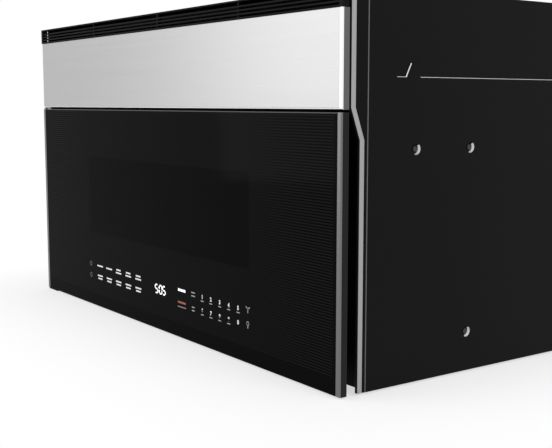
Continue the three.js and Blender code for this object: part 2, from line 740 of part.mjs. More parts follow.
/** A grease filter: a framed lattice that drops on the hinge line along its back edge. */
function greaseFilter(name, side) {
  const x = [side * (filterInner + LEAF_GAP), side * (filterOuter - LEAF_GAP)].sort((a, b) => a - b);
  const y = [filterFront + LEAF_GAP, filterBack - LEAF_GAP];
  const z = [LEAF_RISE, leafTop];
  let filter = box(x, y, z);
  const across = (x[1] - x[0] - 2 * FILTER_BORDER) / FILTER_CELLS;
  const along = (y[1] - y[0] - 2 * FILTER_BORDER) / CELL_ROWS;
  for (let i = 0; i < FILTER_CELLS; i += 1) {
    for (let j = 0; j < CELL_ROWS; j += 1) {
      const u = x[0] + FILTER_BORDER + i * across;
      const v = y[0] + FILTER_BORDER + j * along;
      const cell = outline([
        [u + across / 2, v + CELL_WALL], [u + across - CELL_WALL, v + along / 2],
        [u + across / 2, v + along - CELL_WALL], [u + CELL_WALL, v + along / 2],
      ]);
      filter = cut(filter, plate(cell, [LEAF_RISE - 1, leafTop + 1]));
    }
  }
  return piece(name, filter, aluminium);
}

/** The lens of the cooktop lamp, hinged along its back edge. */
function lampCover() {
  const half = LAMP_WIDTH / 2 - LEAF_GAP;
  const y = [lampFront + LEAF_GAP, lampBack - LEAF_GAP];
  const cover = box([-half, half], y, [LEAF_RISE, lensTop]);
  const dish = box(
    [LENS_RIM - half, half - LENS_RIM], [y[0] + LENS_RIM, y[1] - LENS_RIM],
    [LEAF_RISE + LENS_FLOOR, lensTop + 1]);
  return piece('lamp_cover', cut(cover, dish), lampLens);
}

/** The cooktop lamp: a strip of lights on a board over the lens. */
function cooktopLamp() {
  const seat = lensTop + 2 * SEAT + SHEET;
  const half = LAMP_WIDTH / 2 + 2;
  const y = [lampFront - 2, lampBack + 2];
  const housing = shell([[-half, half], y, [seat, seat + LIGHT_BOX]], 1.6, ['z', -1]);
  const lights = [];
  for (let i = 0; i < LIGHTS; i += 1) {
    const x = (i - (LIGHTS - 1) / 2) * LAMP_WIDTH * 0.3;
    lights.push(rod('z', [x, (y[0] + y[1]) / 2, seat + LIGHT_BOX - 3], LIGHT_RADIUS, 5, 16));
  }
  return piece('cooktop_lamp', join(housing, ...lights), whitePlastic);
}

// ---------------------------------------------------------------- cavity

const guideY = [cavityBack - GUIDE_FROM_BACK - GUIDE_LENGTH, cavityBack - GUIDE_FROM_BACK];
const guideZ = [CAVITY_FLOOR + GUIDE_RISE, CAVITY_FLOOR + GUIDE_RISE + GUIDE_HEIGHT];
const portY = [guideY[0] + PORT_INSET, guideY[0] + PORT_INSET + PORT_WIDTH];
const portZ = [guideZ[0] + PORT_INSET, guideZ[0] + PORT_INSET + PORT_HEIGHT];
const antennaY = guideY[1] - ANTENNA_INSET;
const antennaZ = (guideZ[0] + guideZ[1]) / 2;
const lampY = cavityBack - LAMP_FROM_BACK;
const lampZ = cavityTop - LAMP_FROM_TOP;

/** The cavity: five welded walls, a round well for the turntable and the waveguide on its right wall. */
function cavityBox() {
  const wall = CAVITY_SHEET;
  const outerBox = box(
    [cavityLeft - wall, cavityRight + wall], [insideFace, cavityBack + wall],
    [CAVITY_FLOOR - wall, cavityTop + wall]);
  const room = box([cavityLeft, cavityRight], [insideFace - 1, cavityBack], [CAVITY_FLOOR, cavityTop]);
  const upright = (low, high, radius) => rod(
    'z', [cavityMiddleX, cavityMiddleY, (low + high) / 2], radius, high - low, 40);
  const well = upright(wellFloor - wall, CAVITY_FLOOR, wellRadius + wall);
  const wellRoom = upright(wellFloor, CAVITY_FLOOR + 0.5, wellRadius);
  const guideSide = cavityRight + wall + GUIDE_DEPTH;
  const guide = shell([[cavityRight, guideSide], guideY, guideZ], GUIDE_SHEET, ['x', -1]);
  let cavity = cut(join(cut(outerBox, room), well, cut(guide, room)), wellRoom);
  const port = box([cavityRight - 1, cavityRight + wall + 0.5], portY, portZ);
  const antenna = rod('x', [guideSide, antennaY, antennaZ], ANTENNA_RADIUS + 1, 6, 20);
  const shaft = rod('z', [cavityMiddleX, cavityMiddleY, wellFloor], SHAFT_HOLE, 10, 16);
  cavity = cut(cavity, port, antenna, shaft);
  for (let i = -1; i <= 1; i += 1) {
    for (let j = -1; j <= 1; j += 1) {
      const y = lampY + i * LAMP_GRID - LAMP_HOLE / 2;
      const z = lampZ + j * LAMP_GRID - LAMP_HOLE / 2;
      const hole = box([cavityRight - 1, cavityRight + wall + 1], [y, y + LAMP_HOLE], [z, z + LAMP_HOLE]);
      cavity = cut(cavity, hole);
    }
  }
  return piece('cavity_box', cavity, greyEnamel);
}

/** The mica sheet over the port of the waveguide. */
function waveguideCover() {
  const sheet = box(
    [cavityRight - SEAT - MICA, cavityRight - SEAT], [portY[0] - PORT_LAP, portY[1] + PORT_LAP],
    [portZ[0] - PORT_LAP, portZ[1] + PORT_LAP]);
  return piece('waveguide_cover', sheet, mica);
}

/** The cavity lamp behind its perforated patch: a bulb in a reflector box. */
function cavityLamp() {
  const x0 = cavityRight + CAVITY_SHEET + SEAT;
  const half = LAMP_BOX / 2;
  const housing = shell(
    [[x0, x0 + LAMP_BOX], [lampY - half, lampY + half], [lampZ - half, lampZ + half]], 1.5, ['x', -1]);
  const socket = rod('x', [x0 + LAMP_BOX - 6, lampY, lampZ], 8, 12, 16);
  const bulb = turned([[0, -11], [5, -9], [8, -4], [8, 2], [5, 8], [4.5, 12], [0, 12]], 'x', 16)
    .translate([x0 + LAMP_BOX - 20, lampY, lampZ]);
  return piece('cavity_lamp', join(housing, socket, bulb), whitePlastic);
}

/** The turntable motor, flat against the underside of the cavity. */
function turntableMotor() {
  const top = wellFloor - CAVITY_SHEET - SEAT;
  const plugTop = top - DRIVE_PLUG_DROP;
  const [plugWidth, plugDepth, plugHeight] = DRIVE_PLUG;
  const earX = DRIVE_EARS / 2;
  const earY = DRIVE_EAR_WIDTH / 2;
  const motor = join(
    rod('z', [0, 0, top - DRIVE_HEIGHT / 2], DRIVE_RADIUS, DRIVE_HEIGHT, 28),
    box([-earX, earX], [-earY, earY], [top - DRIVE_EAR, top]),
    box(
      [-plugWidth / 2, plugWidth / 2], [DRIVE_PLUG_OUT, DRIVE_PLUG_OUT + plugDepth],
      [plugTop - plugHeight, plugTop]));
  const mesh = piece('turntable_motor', motor, zincSheet);
  mesh.position.set(cavityMiddleX, cavityMiddleY, 0);
  return mesh;
}

// ---------------------------------------------------------------- turntable

const axleHeight = wellFloor + SEAT + ROLLER_RADIUS;
const trayBottom = axleHeight + ROLLER_RADIUS + SEAT;
const couplerLow = wellFloor - CAVITY_SHEET;

/** The coupler: a three-armed star on the shaft of the motor. */
function coupler() {
  const top = trayBottom - SEAT;
  const arms = [0, 1, 2].map(i => {
    const arm = new THREE.BoxGeometry(COUPLER_RADIUS + 5, 5, 6);
    arm.translate((COUPLER_RADIUS + 5) / 2, 0, top - 3);
    arm.rotateZ((i * 2 * Math.PI) / 3);
    return solidOf(arm);
  });
  const hub = rod('z', [0, 0, (top + wellFloor + 1) / 2], COUPLER_RADIUS - 2, top - wellFloor - 1, 20);
  const shaftTop = wellFloor + 2;
  const shaft = rod('z', [0, 0, (couplerLow + shaftTop) / 2], SHAFT_RADIUS, shaftTop - couplerLow, 16);
  return piece('turntable_coupler', join(hub, shaft, ...arms), whitePlastic);
}

/** The glass tray, with a raised rim and three lugs under it that take the coupler. */
function glassTray() {
  const rise = trayBottom + TRAY_THICKNESS;
  const rimTop = trayBottom + TRAY_RIM;
  const profile = [
    [0, trayBottom], [trayRadius - 22, trayBottom], [trayRadius - 10, trayBottom + 2],
    [trayRadius, rimTop - 2], [trayRadius - 1.5, rimTop], [trayRadius - 4, rimTop - 0.5],
    [trayRadius - 13, rise + 1], [trayRadius - 24, rise], [0, rise],
  ];
  return piece('glass_tray', turned(profile, 'z', 40), clearGlass);
}

/** The roller ring: a hoop with three axle blocks, each with a pin on which a roller turns. */
function rollerRing() {
  const half = RING_SECTION / 2;
  const hoopRadius = TRACK_RADIUS - ROLLER_WIDTH / 2 - 5;
  let hoop = ring(hoopRadius - half, hoopRadius + half, axleHeight - half, axleHeight + half, 'z', 36);
  for (let i = 0; i < 3; i += 1) {
    const angle = (i * 2 * Math.PI) / 3;
    const reach = TRACK_RADIUS + ROLLER_WIDTH / 2 + 1.4;
    const axle = new THREE.CylinderGeometry(AXLE_RADIUS, AXLE_RADIUS, reach - hoopRadius, 12);
    axle.rotateZ(Math.PI / 2);
    axle.translate((reach + hoopRadius) / 2, 0, axleHeight);
    axle.rotateZ(angle);
    hoop = hoop.add(solidOf(axle));
  }
  return piece('roller_ring', hoop, whitePlastic);
}

/** One roller on its axle pin. */
function roller(index) {
  const bore = AXLE_RADIUS + 0.3;
  const half = ROLLER_WIDTH / 2;
  const profile = [
    [bore, -half], [ROLLER_RADIUS - 1, -half], [ROLLER_RADIUS, 1 - half], [ROLLER_RADIUS, half - 1],
    [ROLLER_RADIUS - 1, half], [bore, half], [bore, -half],
  ];
  const angle = (index * 2 * Math.PI) / 3;
  const mesh = piece(`roller_${index + 1}`, turned(profile, 'x', 20), whitePlastic);
  mesh.position.set(TRACK_RADIUS * Math.cos(angle), TRACK_RADIUS * Math.sin(angle), axleHeight);
  mesh.rotation.z = angle;
  return mesh;
}

function turntable() {
  const group = new THREE.Group();
  group.position.set(cavityMiddleX, cavityMiddleY, 0);
  group.add(coupler(), glassTray(), rollerRing(), roller(0), roller(1), roller(2));
  return group;
}

// ---------------------------------------------------------------- component bay

const bayLeft = cavityRight + CAVITY_SHEET;
const bayTop = bayFloor + SHEET;
const fanX = bayLeft + FAN_CLEAR + FAN_SIZE / 2;
const fanZ = antennaZ;
const fanY = BACK - FAN_FROM_BACK;
const fanMotorFront = FAN_DEPTH - FAN_MOTOR_INSET;

/** A box centred on the antenna in Y and Z, between two places along X. */
function roundAntenna(x, width, height) {
  const [y, z] = [width / 2, height / 2];
  return box(x, [antennaY - y, antennaY + y], [antennaZ - z, antennaZ + z]);
}

/** The magnetron: a finned anode in its yoke, with the antenna in the waveguide. */
function magnetron() {
  const x0 = bayLeft + GUIDE_DEPTH + SEAT;
  const x1 = x0 + MAGNETRON_LENGTH;
  const plateOuter = roundAntenna([x0, x0 + YOKE], MAGNETRON_PLATE, MAGNETRON_WIDTH);
  const yoke = cut(
    roundAntenna([x0, x1], MAGNETRON_WIDTH, MAGNETRON_HEIGHT),
    roundAntenna([x0 - 1, x1 - YOKE], MAGNETRON_WIDTH + 2, MAGNETRON_HEIGHT - 2 * YOKE));
  const anode = rod('x', [(x0 + x1) / 2, antennaY, antennaZ], ANODE_RADIUS, MAGNETRON_LENGTH, 14);
  const dome = rod('x', [x0 - 9, antennaY, antennaZ], ANTENNA_RADIUS - 1, 20, 14);
  const fins = [];
  for (let i = 0; i < FIN_COUNT; i += 1) {
    const x = x0 + (MAGNETRON_LENGTH - FIN_SPREAD) / 2 + (i * FIN_SPREAD) / (FIN_COUNT - 1);
    fins.push(roundAntenna([x, x + 1], MAGNETRON_WIDTH - 6, MAGNETRON_HEIGHT - 2));
  }
  const terminal = roundAntenna([x1 - 1, x1 + TERMINAL_DEPTH], TERMINAL, TERMINAL);
  return piece('magnetron', join(plateOuter, yoke, anode, dome, ...fins, terminal), zincSheet);
}

/** The high voltage transformer: laminated core round two windings. */
function transformer() {
  const x0 = bayLeft + GUIDE_DEPTH + 1;
  const x = [x0, x0 + CORE_WIDTH];
  const y = [cavityMiddleY + 8 - CORE_DEPTH, cavityMiddleY + 8];
  const z = [bayTop + SEAT, bayTop + SEAT + CORE_HEIGHT];
  const middle = (x[0] + x[1]) / 2;
  const through = [y[0] - 1, y[1] + 1];
  const limb = CORE_LIMB;
  const core = cut(box(x, y, z),
    box([x[0] + limb, middle - limb], through, [z[0] + limb, z[1] - limb]),
    box([middle + limb, x[1] - limb], through, [z[0] + limb, z[1] - limb]));
  const coil = box(
    [x[0] + limb + 1, x[1] - limb - 1], [y[0] - COIL_STANDOFF, y[1] + COIL_STANDOFF],
    [z[0] + limb + 1, z[1] - limb - 1]);
  const feet = box([x[0] - 8, x[1] + 8], [y[0] + 8, y[1] - 8], [z[0], z[0] + 2]);
  return piece('transformer', join(core, coil, feet), copperWire);
}

/** The high voltage capacitor: an oval can that stands in its clamp. */
function capacitor() {
  const can = new THREE.Shape();
  const offset = CAN_SPREAD / 2;
  can.absarc(-offset, 0, CAN_RADIUS, Math.PI / 2, (3 * Math.PI) / 2, false);
  can.absarc(offset, 0, CAN_RADIUS, (3 * Math.PI) / 2, Math.PI / 2, false);
  const low = bayTop + SEAT;
  const tagMiddle = low + CAN_HEIGHT + TAG_HEIGHT / 2 - 1;
  const body = join(
    plate(can, [low, low + CAN_HEIGHT], 10),
    ...[-1, 1].map(end => rod('z', [end * (offset - 2), 0, tagMiddle], TAG_RADIUS, TAG_HEIGHT + 2, 12)),
    box([-CAN_FOOT / 2, CAN_FOOT / 2], [-TAG_RADIUS, TAG_RADIUS], [low, low + 2]));
  const mesh = piece('capacitor', body, aluminium);
  mesh.position.set(bayLeft + CAN_FROM_CAVITY, cavityMiddleY + CAN_BEHIND_MIDDLE, 0);
  return mesh;
}

/** The frame of the cooling fan: a ducted plate with the motor carried on three arms. */
function fanFrame() {
  const half = FAN_SIZE / 2;
  const bodyBox = box([-half, half], [0, FAN_DEPTH], [-half, half]);
  const duct = rod('y', [0, FAN_DEPTH / 2, 0], FAN_RADIUS + 2, FAN_DEPTH + 2, 32);
  const motorLength = FAN_MOTOR_INSET + FAN_MOTOR_OUT;
  const motor = rod('y', [0, fanMotorFront + motorLength / 2, 0], FAN_MOTOR_RADIUS, motorLength, 20);
  const armLength = FAN_RADIUS + 3;
  const arms = [0, 1, 2].map(i => {
    const arm = new THREE.BoxGeometry(armLength, FAN_ARM, 2 * FAN_ARM);
    arm.translate(armLength / 2, FAN_DEPTH - FAN_ARM / 2, 0);
    arm.rotateY((i * 2 * Math.PI) / 3);
    return solidOf(arm);
  });
  const foot = box([half - 2, innerSide - fanX], [FAN_DEPTH - 2, FAN_DEPTH], [-half, half]);
  const mesh = piece('cooling_fan_frame', join(cut(bodyBox, duct), motor, ...arms, foot), blackPlastic);
  mesh.position.set(fanX, fanY, fanZ);
  return mesh;
}

/** The cooling fan: twisted blades on a hub. */
function fanBlade() {
  const hubBack = fanMotorFront - SEAT;
  const hub = rod('y', [0, (hubBack + 1.5) / 2, 0], FAN_HUB, hubBack - 1.5, 20);
  const blades = [];
  for (let i = 0; i < FAN_BLADES; i += 1) {
    const blade = new THREE.BoxGeometry(FAN_RADIUS - FAN_HUB + 1.5, FAN_BLADE, FAN_CHORD);
    blade.rotateX(FAN_TWIST);
    blade.translate((FAN_RADIUS + FAN_HUB - 2.5) / 2, FAN_MIDDLE, 0);
    blade.rotateY((i * 2 * Math.PI) / FAN_BLADES);
    blades.push(solidOf(blade));
  }
  const reach = rod('y', [0, FAN_MIDDLE, 0], FAN_RADIUS - 0.5, FAN_CHORD, 40);
  const mesh = piece('cooling_fan_blade', join(hub, ...blades).intersect(reach), greyPlastic);
  mesh.position.set(fanX, fanY, fanZ);
  return mesh;
}

/** The main board: relays, a transformer and a capacitor on a board that stands off the side panel. */
function mainBoard() {
  const x = innerSide - SEAT - BOARD_STANDOFF;
  const y = [insideFace + BOARD_SETBACK, insideFace + BOARD_SETBACK + BOARD_LENGTH];
  const z = [bayTop + BOARD_RISE, bayTop + BOARD_RISE + BOARD_HEIGHT];
  const mounted = ([rise, width, length], fromFront, fromBottom) => box(
    [x - rise, x + 0.5], [y[0] + fromFront, y[0] + fromFront + width],
    [z[0] + fromBottom, z[0] + fromBottom + length]);
  const parts = [box([x, x + BOARD_SHEET], y, z), mounted(SUPPLY, 20, 50)];
  for (let i = 0; i < RELAY_COUNT; i += 1) {
    parts.push(mounted(RELAY, 12 + i * RELAY_PITCH, 8));
  }
  parts.push(rod('x', [x - 10, y[0] + 86, z[0] + 66], 9, 22, 16));
  const standoff = innerSide - x - 1;
  for (const py of [y[0] + 6, y[1] - 6]) {
    for (const pz of [z[0] + 4, z[1] - 4]) {
      parts.push(rod('x', [(x + innerSide) / 2 + 0.5, py, pz], 3, standoff, 10));
    }
  }
  return piece('main_board', join(...parts), boardGreen);
}

// ---------------------------------------------------------------- blower

const wheelStart = MOTOR_LENGTH / 2 + MOTOR_GAP;

/** A squirrel-cage wheel: forward-curved blades between a hub plate and an end ring. */
function blowerWheel(name, side) {
  const near = side * wheelStart;
  const far = side * (wheelStart + WHEEL_LENGTH);
  const along = [near, far].sort((a, b) => a - b);
  const hubPlate = rod('x', [near + side * 1.5, 0, 0], WHEEL_RADIUS, 3, 28);
  const boss = rod('x', [near + side * 9, 0, 0], 9, 18, 16);
  const endRing = ring(WHEEL_RADIUS - BLADE_DEPTH, WHEEL_RADIUS, -1.5, 1.5, 'x', 28)
    .translate([far - side * 1.5, 0, 0]);
  const blades = [];
  for (let i = 0; i < WHEEL_BLADES; i += 1) {
    const blade = new THREE.BoxGeometry(along[1] - along[0] - 2, BLADE_THICKNESS, BLADE_DEPTH - 1);
    blade.rotateX(0.5);
    blade.translate((near + far) / 2, 0, WHEEL_RADIUS - BLADE_DEPTH / 2 - 0.3);
    blade.rotateX((i * 2 * Math.PI) / WHEEL_BLADES);
    blades.push(solidOf(blade));
  }
  const bore = rod('x', [near, 0, 0], BLOWER_SHAFT + SEAT, 60, 16);
  const wheel = cut(join(hubPlate, boss, endRing, ...blades), bore);
  return piece(name, wheel, blackPlastic);
}

/** Outline of a scroll: a spiral that opens into a straight outlet towards the front. */
function scrollOutline(offset, mouth) {
  const points = [];
  const turns = 24;
  for (let i = 0; i <= turns; i += 1) {
    const part = i / turns;
    const angle = Math.PI / 2 - part * 1.5 * Math.PI;
    const radius = WHEEL_RADIUS + SCROLL_GAP + SCROLL_GROWTH * (1 - part) + offset;
    points.push([radius * Math.cos(angle), radius * Math.sin(angle)]);
  }
  const first = points[0];
  const last = points[points.length - 1];
  return outline([...points, [mouth, last[1]], [mouth, first[1]]].reverse());
}

/** A scroll housing round one wheel, with a round inlet in each cheek. */
function scrollHousing(name, side) {
  const near = wheelStart - 4;
  const far = wheelStart + WHEEL_LENGTH + 4;
  const mouth = -WHEEL_RADIUS - 34;
  const outerShape = scrollOutline(SCROLL_WALL, mouth);
  const innerShape = scrollOutline(0, mouth - 4);
  const casing = cut(
    sidePlate(outerShape, [side * near, side * far]),
    sidePlate(innerShape, [side * (near + SCROLL_WALL), side * (far - SCROLL_WALL)]));
  const inlets = rod('x', [(side * (near + far)) / 2, 0, 0], INLET_RADIUS, far - near + 4, 32);
  const seat = hoodFloor + SHEET + SEAT - blowerZ;
  const underside = -(WHEEL_RADIUS + SCROLL_GAP + SCROLL_WALL / 2);
  const feet = [near + 6, far - 6].map(x => join(
    box([side * (x - 4), side * (x + 4)], [-24, 24], [seat, seat + 2]),
    box([side * (x - 1), side * (x + 1)], [-12, 12], [seat, underside])));
  return piece(name, join(cut(casing, inlets), ...feet), zincSheet);
}

/** The blower motor between the wheels, on a cradle that screws to the hood floor. */
function blowerMotor() {
  const low = hoodFloor + SHEET + SEAT - blowerZ;
  const half = MOTOR_LENGTH / 2;
  const can = turned([
    [0, -half], [16, -half], [16, 8 - half], [MOTOR_RADIUS - 4, 10 - half], [MOTOR_RADIUS, 14 - half],
    [MOTOR_RADIUS, half - 14], [MOTOR_RADIUS - 4, half - 10], [16, half - 8], [16, half], [0, half],
  ], 'x', 22);
  const cradle = join(
    box([-18, 18], [-30, 30], [low, low + 2]),
    box([-18, -16], [-26, 26], [low, -MOTOR_RADIUS * 0.6]),
    box([16, 18], [-26, 26], [low, -MOTOR_RADIUS * 0.6]));
  const bore = rod('x', [0, 0, 0], BLOWER_SHAFT + SEAT, MOTOR_LENGTH + 2, 16);
  return piece('blower_motor', cut(join(can, cradle), bore), zincSheet);
}

/** The shaft through the motor, which carries both wheels. */
function blowerShaft() {
  const length = 2 * (wheelStart + 22);
  return piece('blower_shaft', rod('x', [0, 0, 0], BLOWER_SHAFT, length, 16), zincSheet);
}

function blower() {
  const group = new THREE.Group();
  group.position.set(0, blowerY, blowerZ);
  group.add(
    blowerMotor(), blowerShaft(),
    blowerWheel('left_blower_wheel', -1), blowerWheel('right_blower_wheel', 1),
    scrollHousing('left_scroll_housing', -1), scrollHousing('right_scroll_housing', 1));
  return group;
}

// ---------------------------------------------------------------- hinges

const flangeLeft = -HALF + TRIM_LEG + 4;
const flangeRight = flangeLeft + HINGE_FLANGE;

/** A hinge bracket: a flat arm under or over the door, a pin, and a flange on the front frame. */
function hingeBracket(name, level, up) {
  const arm = new THREE.Shape();
  const radius = EDGE_TRIM / 2;
  arm.moveTo(flangeRight, faceY - SEAT);
  arm.lineTo(flangeLeft, faceY - SEAT);
  arm.lineTo(flangeLeft, hingeY + radius);
  arm.lineTo(hingeX, hingeY + radius);
  arm.absarc(hingeX, hingeY, radius, Math.PI / 2, -Math.PI / 2, false);
  arm.lineTo(flangeRight, hingeY - radius);
  arm.closePath();
  const flangeTop = up > 0 ? level + HINGE_LEG : level + HINGE_SHEET;
  const flangeLow = up > 0 ? level : level + HINGE_SHEET - HINGE_LEG;
  const pinMiddle = level + HINGE_SHEET / 2 + up * (PIN_LENGTH / 2);
  const bracket = join(
    plate(arm, [level, level + HINGE_SHEET], 10),
    box([flangeLeft, flangeRight], [faceY - SEAT - HINGE_SHEET, faceY - SEAT], [flangeLow, flangeTop]),
    rod('z', [hingeX, hingeY, pinMiddle], PIN_RADIUS, PIN_LENGTH, 16));
  return piece(name, bracket, blackSheet);
}

// ---------------------------------------------------------------- door

/** The outer glass: one sheet over the whole door, bevelled along its upper edge. */
function doorGlass() {
  const shape = outline([
    [FRONT, DOOR_BOTTOM], [FRONT + GLASS, DOOR_BOTTOM], [FRONT + GLASS, doorTop],
    [FRONT + GLASS_BEVEL, doorTop], [FRONT, doorTop - GLASS_BEVEL],
  ]);
  return piece('door_glass', sidePlate(shape, [-doorInset, doorInset]), darkGlass);
}

/** An upright trim along one side of the door. On the hinge side it takes the two pins. */
function doorTrim(name, side) {
  const x = [side * HALF, side * (HALF - EDGE_TRIM)];
  const round = 1.6;
  const profile = new THREE.Shape();
  const [outer, inner] = x;
  profile.moveTo(outer, FRONT + round);
  profile.lineTo(outer, doorBack);
  profile.lineTo(inner, doorBack);
  profile.lineTo(inner, FRONT);
  profile.lineTo(outer - side * round, FRONT);
  profile.closePath();
  let trim = plate(profile, [DOOR_BOTTOM, doorTop]);
  if (side < 0) {
    for (const z of [DOOR_BOTTOM, doorTop]) {
      trim = cut(trim, rod('z', [hingeX, hingeY, z], PIN_RADIUS + BORE_GAP, 2 * PIN_LENGTH + 3, 16));
    }
  }
  return piece(name, trim, satinTrim);
}

/** The door backing: a plastic frame behind the glass, cut for the window and the touch board. */
function doorBacking() {
  const y = [FRONT + GLASS + SEAT, doorBack];
  const through = [y[0] - 2, y[1] + 2];
  const half = WINDOW_WIDTH / 2;
  const backing = cut(
    box([-doorInset, doorInset], y, [DOOR_BOTTOM, doorTop]),
    box([-half, half], through, [windowBottom, windowTop]),
    box([-TOUCH_WIDTH / 2, TOUCH_WIDTH / 2], through, [DOOR_BOTTOM + TOUCH_LOW, DOOR_BOTTOM + TOUCH_HIGH]));
  return piece('door_backing', backing, blackPlastic);
}

/** The touch board behind the lower part of the glass, with its display. */
function touchBoard() {
  const y0 = FRONT + GLASS + SEAT;
  const half = TOUCH_WIDTH / 2 - SEAT;
  const low = DOOR_BOTTOM + TOUCH_LOW + SEAT;
  const high = DOOR_BOTTOM + TOUCH_HIGH - SEAT;
  const board = join(
    box([-half, half], [y0 + 1.6, y0 + 3.2], [low, high]),
    box([-30, 30], [y0, y0 + 2], [low + 10, high - 12]),
    box([60, half - 10], [y0, y0 + 2], [low + 6, high - 8]),
    box([10 - half, -50], [y0, y0 + 2], [low + 6, high - 8]));
  return piece('touch_board', board, boardGreen);
}

/** The choke frame: a pressed pan round the window, with a slotted channel round its edge. */
function chokeFrame() {
  const s = DOOR_SHEET;
  const pan = shell(
    [[chokeLeft, chokeRight], [chokeFront, chokeBack], [chokeBottom, chokeTop]], s, ['y', 1]);
  const c = CHOKE_CHANNEL;
  const inner = cut(
    box([chokeLeft + c, chokeRight - c], [chokeFront, chokeBack], [chokeBottom + c, chokeTop - c]),
    box([chokeLeft + c + s, chokeRight - c - s], [chokeFront - 1, chokeBack + 1],
      [chokeBottom + c + s, chokeTop - c - s]));
  const half = WINDOW_WIDTH / 2;
  const window = box([-half, half], [chokeFront - 1, chokeFront + 4], [windowBottom, windowTop]);
  let frame = cut(pan.add(inner), window);
  const slotY = [chokeBack - 10, chokeBack + 1];
  const acrossCount = Math.floor((chokeRight - chokeLeft) / CHOKE_PITCH);
  for (let i = 0; i < acrossCount; i += 1) {
    const x = (chokeLeft + chokeRight) / 2 + (i - (acrossCount - 1) / 2) * CHOKE_PITCH;
    for (const z of [chokeBottom, chokeTop]) {
      frame = cut(frame, box([x - CHOKE_SLOT / 2, x + CHOKE_SLOT / 2], slotY, [z - 3, z + 3]));
    }
  }
  const upCount = Math.floor((chokeTop - chokeBottom) / CHOKE_PITCH);
  for (let i = 0; i < upCount; i += 1) {
    const z = (chokeBottom + chokeTop) / 2 + (i - (upCount - 1) / 2) * CHOKE_PITCH;
    for (const x of [chokeLeft, chokeRight]) {
      frame = cut(frame, box([x - 3, x + 3], slotY, [z - CHOKE_SLOT / 2, z + CHOKE_SLOT / 2]));
    }
  }
  return piece('choke_frame', frame, blackSheet);
}

/** The choke cover: a flat plastic frame that snaps over the mouth of the channel. */
function chokeCover() {
  const y = [chokeBack + SEAT, chokeBack + SEAT + 1.6];
  const reach = CHOKE_CHANNEL + COVER_LIP;
  const cover = cut(
    box([chokeLeft, chokeRight], y, [chokeBottom, chokeTop]),
    box(
      [chokeLeft + reach, chokeRight - reach], [y[0] - 1, y[1] + 1],
      [chokeBottom + reach, chokeTop - reach]));
  const lip = cut(
    box([chokeLeft + reach - 1.5, chokeRight - reach + 1.5], [chokeBack - 4, y[1]],
      [chokeBottom + reach - 1.5, chokeTop - reach + 1.5]),
    box([chokeLeft + reach, chokeRight - reach], [chokeBack - 5, y[1] + 1],
      [chokeBottom + reach, chokeTop - reach]));
  return piece('choke_cover', cover.add(lip), blackPlastic);
}

/** The perforated screen of the window, held against the choke frame. */
function innerScreen() {
  const y = chokeFront + DOOR_SHEET + SEAT;
  const half = WINDOW_WIDTH / 2 + SCREEN_LAP;
  const height = [windowBottom - SCREEN_LAP, windowTop + SCREEN_LAP];
  return piece('inner_screen', box([-half, half], [y, y + SCREEN], height), blackSheet);
}

/** The clear pane on the cavity side of the screen. */
function innerPane() {
  const y = chokeFront + DOOR_SHEET + SCREEN + 2 * SEAT;
  const half = WINDOW_WIDTH / 2 + PANE_LAP;
  const height = [windowBottom - PANE_LAP, windowTop + PANE_LAP];
  return piece('inner_pane', box([-half, half], [y, y + PANE], height), clearGlass);
}

/** The latch cover: a plastic box behind the right of the door that guides the latch. */
function latchCover() {
  const x = [chokeRight + SEAT, latchCoverRight];
  const pan = shell([x, [chokeFront, chokeBack], [chokeBottom, chokeTop]], 1.6, ['y', -1]);
  const slots = [LOWER_HOOK, upperHook].map(z => box(
    [latchX - 4, latchX + 4], [chokeBack - 4, chokeBack + 2], hookSlot(z)));
  const guides = [LOWER_HOOK + 40, upperHook - 40].flatMap(z => [-1, 1].map(side => box(
    [latchX + side * (LATCH_THICKNESS / 2 + SEAT), latchX + side * (LATCH_THICKNESS / 2 + SEAT + 2)],
    [chokeBack - 16, chokeBack - 1], [z - 7, z + 7])));
  return piece('latch_cover', join(cut(pan, ...slots), ...guides), blackPlastic);
}

/** The door latch: one slider with two hooks that catch behind the face of the oven. */
function doorLatch() {
  const bar = [chokeBack - 6 - LATCH_BAR, chokeBack - 6];
  const tip = faceY + HOOK_REACH;
  const h = HOOK_HEIGHT / 2;
  const hooks = [LOWER_HOOK, upperHook].map(z => sidePlate(outline([
    [bar[0], z - h], [tip - 10, z - h + 3], [tip - 10, z - h], [tip - 4, z - h], [tip, z - h + 7],
    [tip - 3, z + h], [bar[0], z + h],
  ]), [latchX - LATCH_THICKNESS / 2, latchX + LATCH_THICKNESS / 2]));
  const slider = box(
    [latchX - LATCH_THICKNESS / 2, latchX + LATCH_THICKNESS / 2], bar, [LOWER_HOOK - h, upperHook + h]);
  return piece('door_latch', join(slider, ...hooks), whitePlastic);
}

function door() {
  const group = new THREE.Group();
  group.add(
    doorGlass(), doorTrim('left_door_trim', -1), doorTrim('right_door_trim', 1), doorBacking(), touchBoard(),
    chokeFrame(), chokeCover(), innerScreen(), innerPane(), latchCover(), doorLatch());
  return group;
}

// ---------------------------------------------------------------- interlocks

const boardReach = HOOK_REACH + PLUNGER_TRAVEL + BOARD_BEHIND;
const plungerFace = faceY + HOOK_REACH + SEAT;
const switchFront = plungerFace + PLUNGER_TRAVEL + PLUNGER_SPARE;
const plungerHeights = {
  primary: upperHook + 3, monitor: LOWER_HOOK + MONITOR_RISE, secondary: LOWER_HOOK + 3,
};

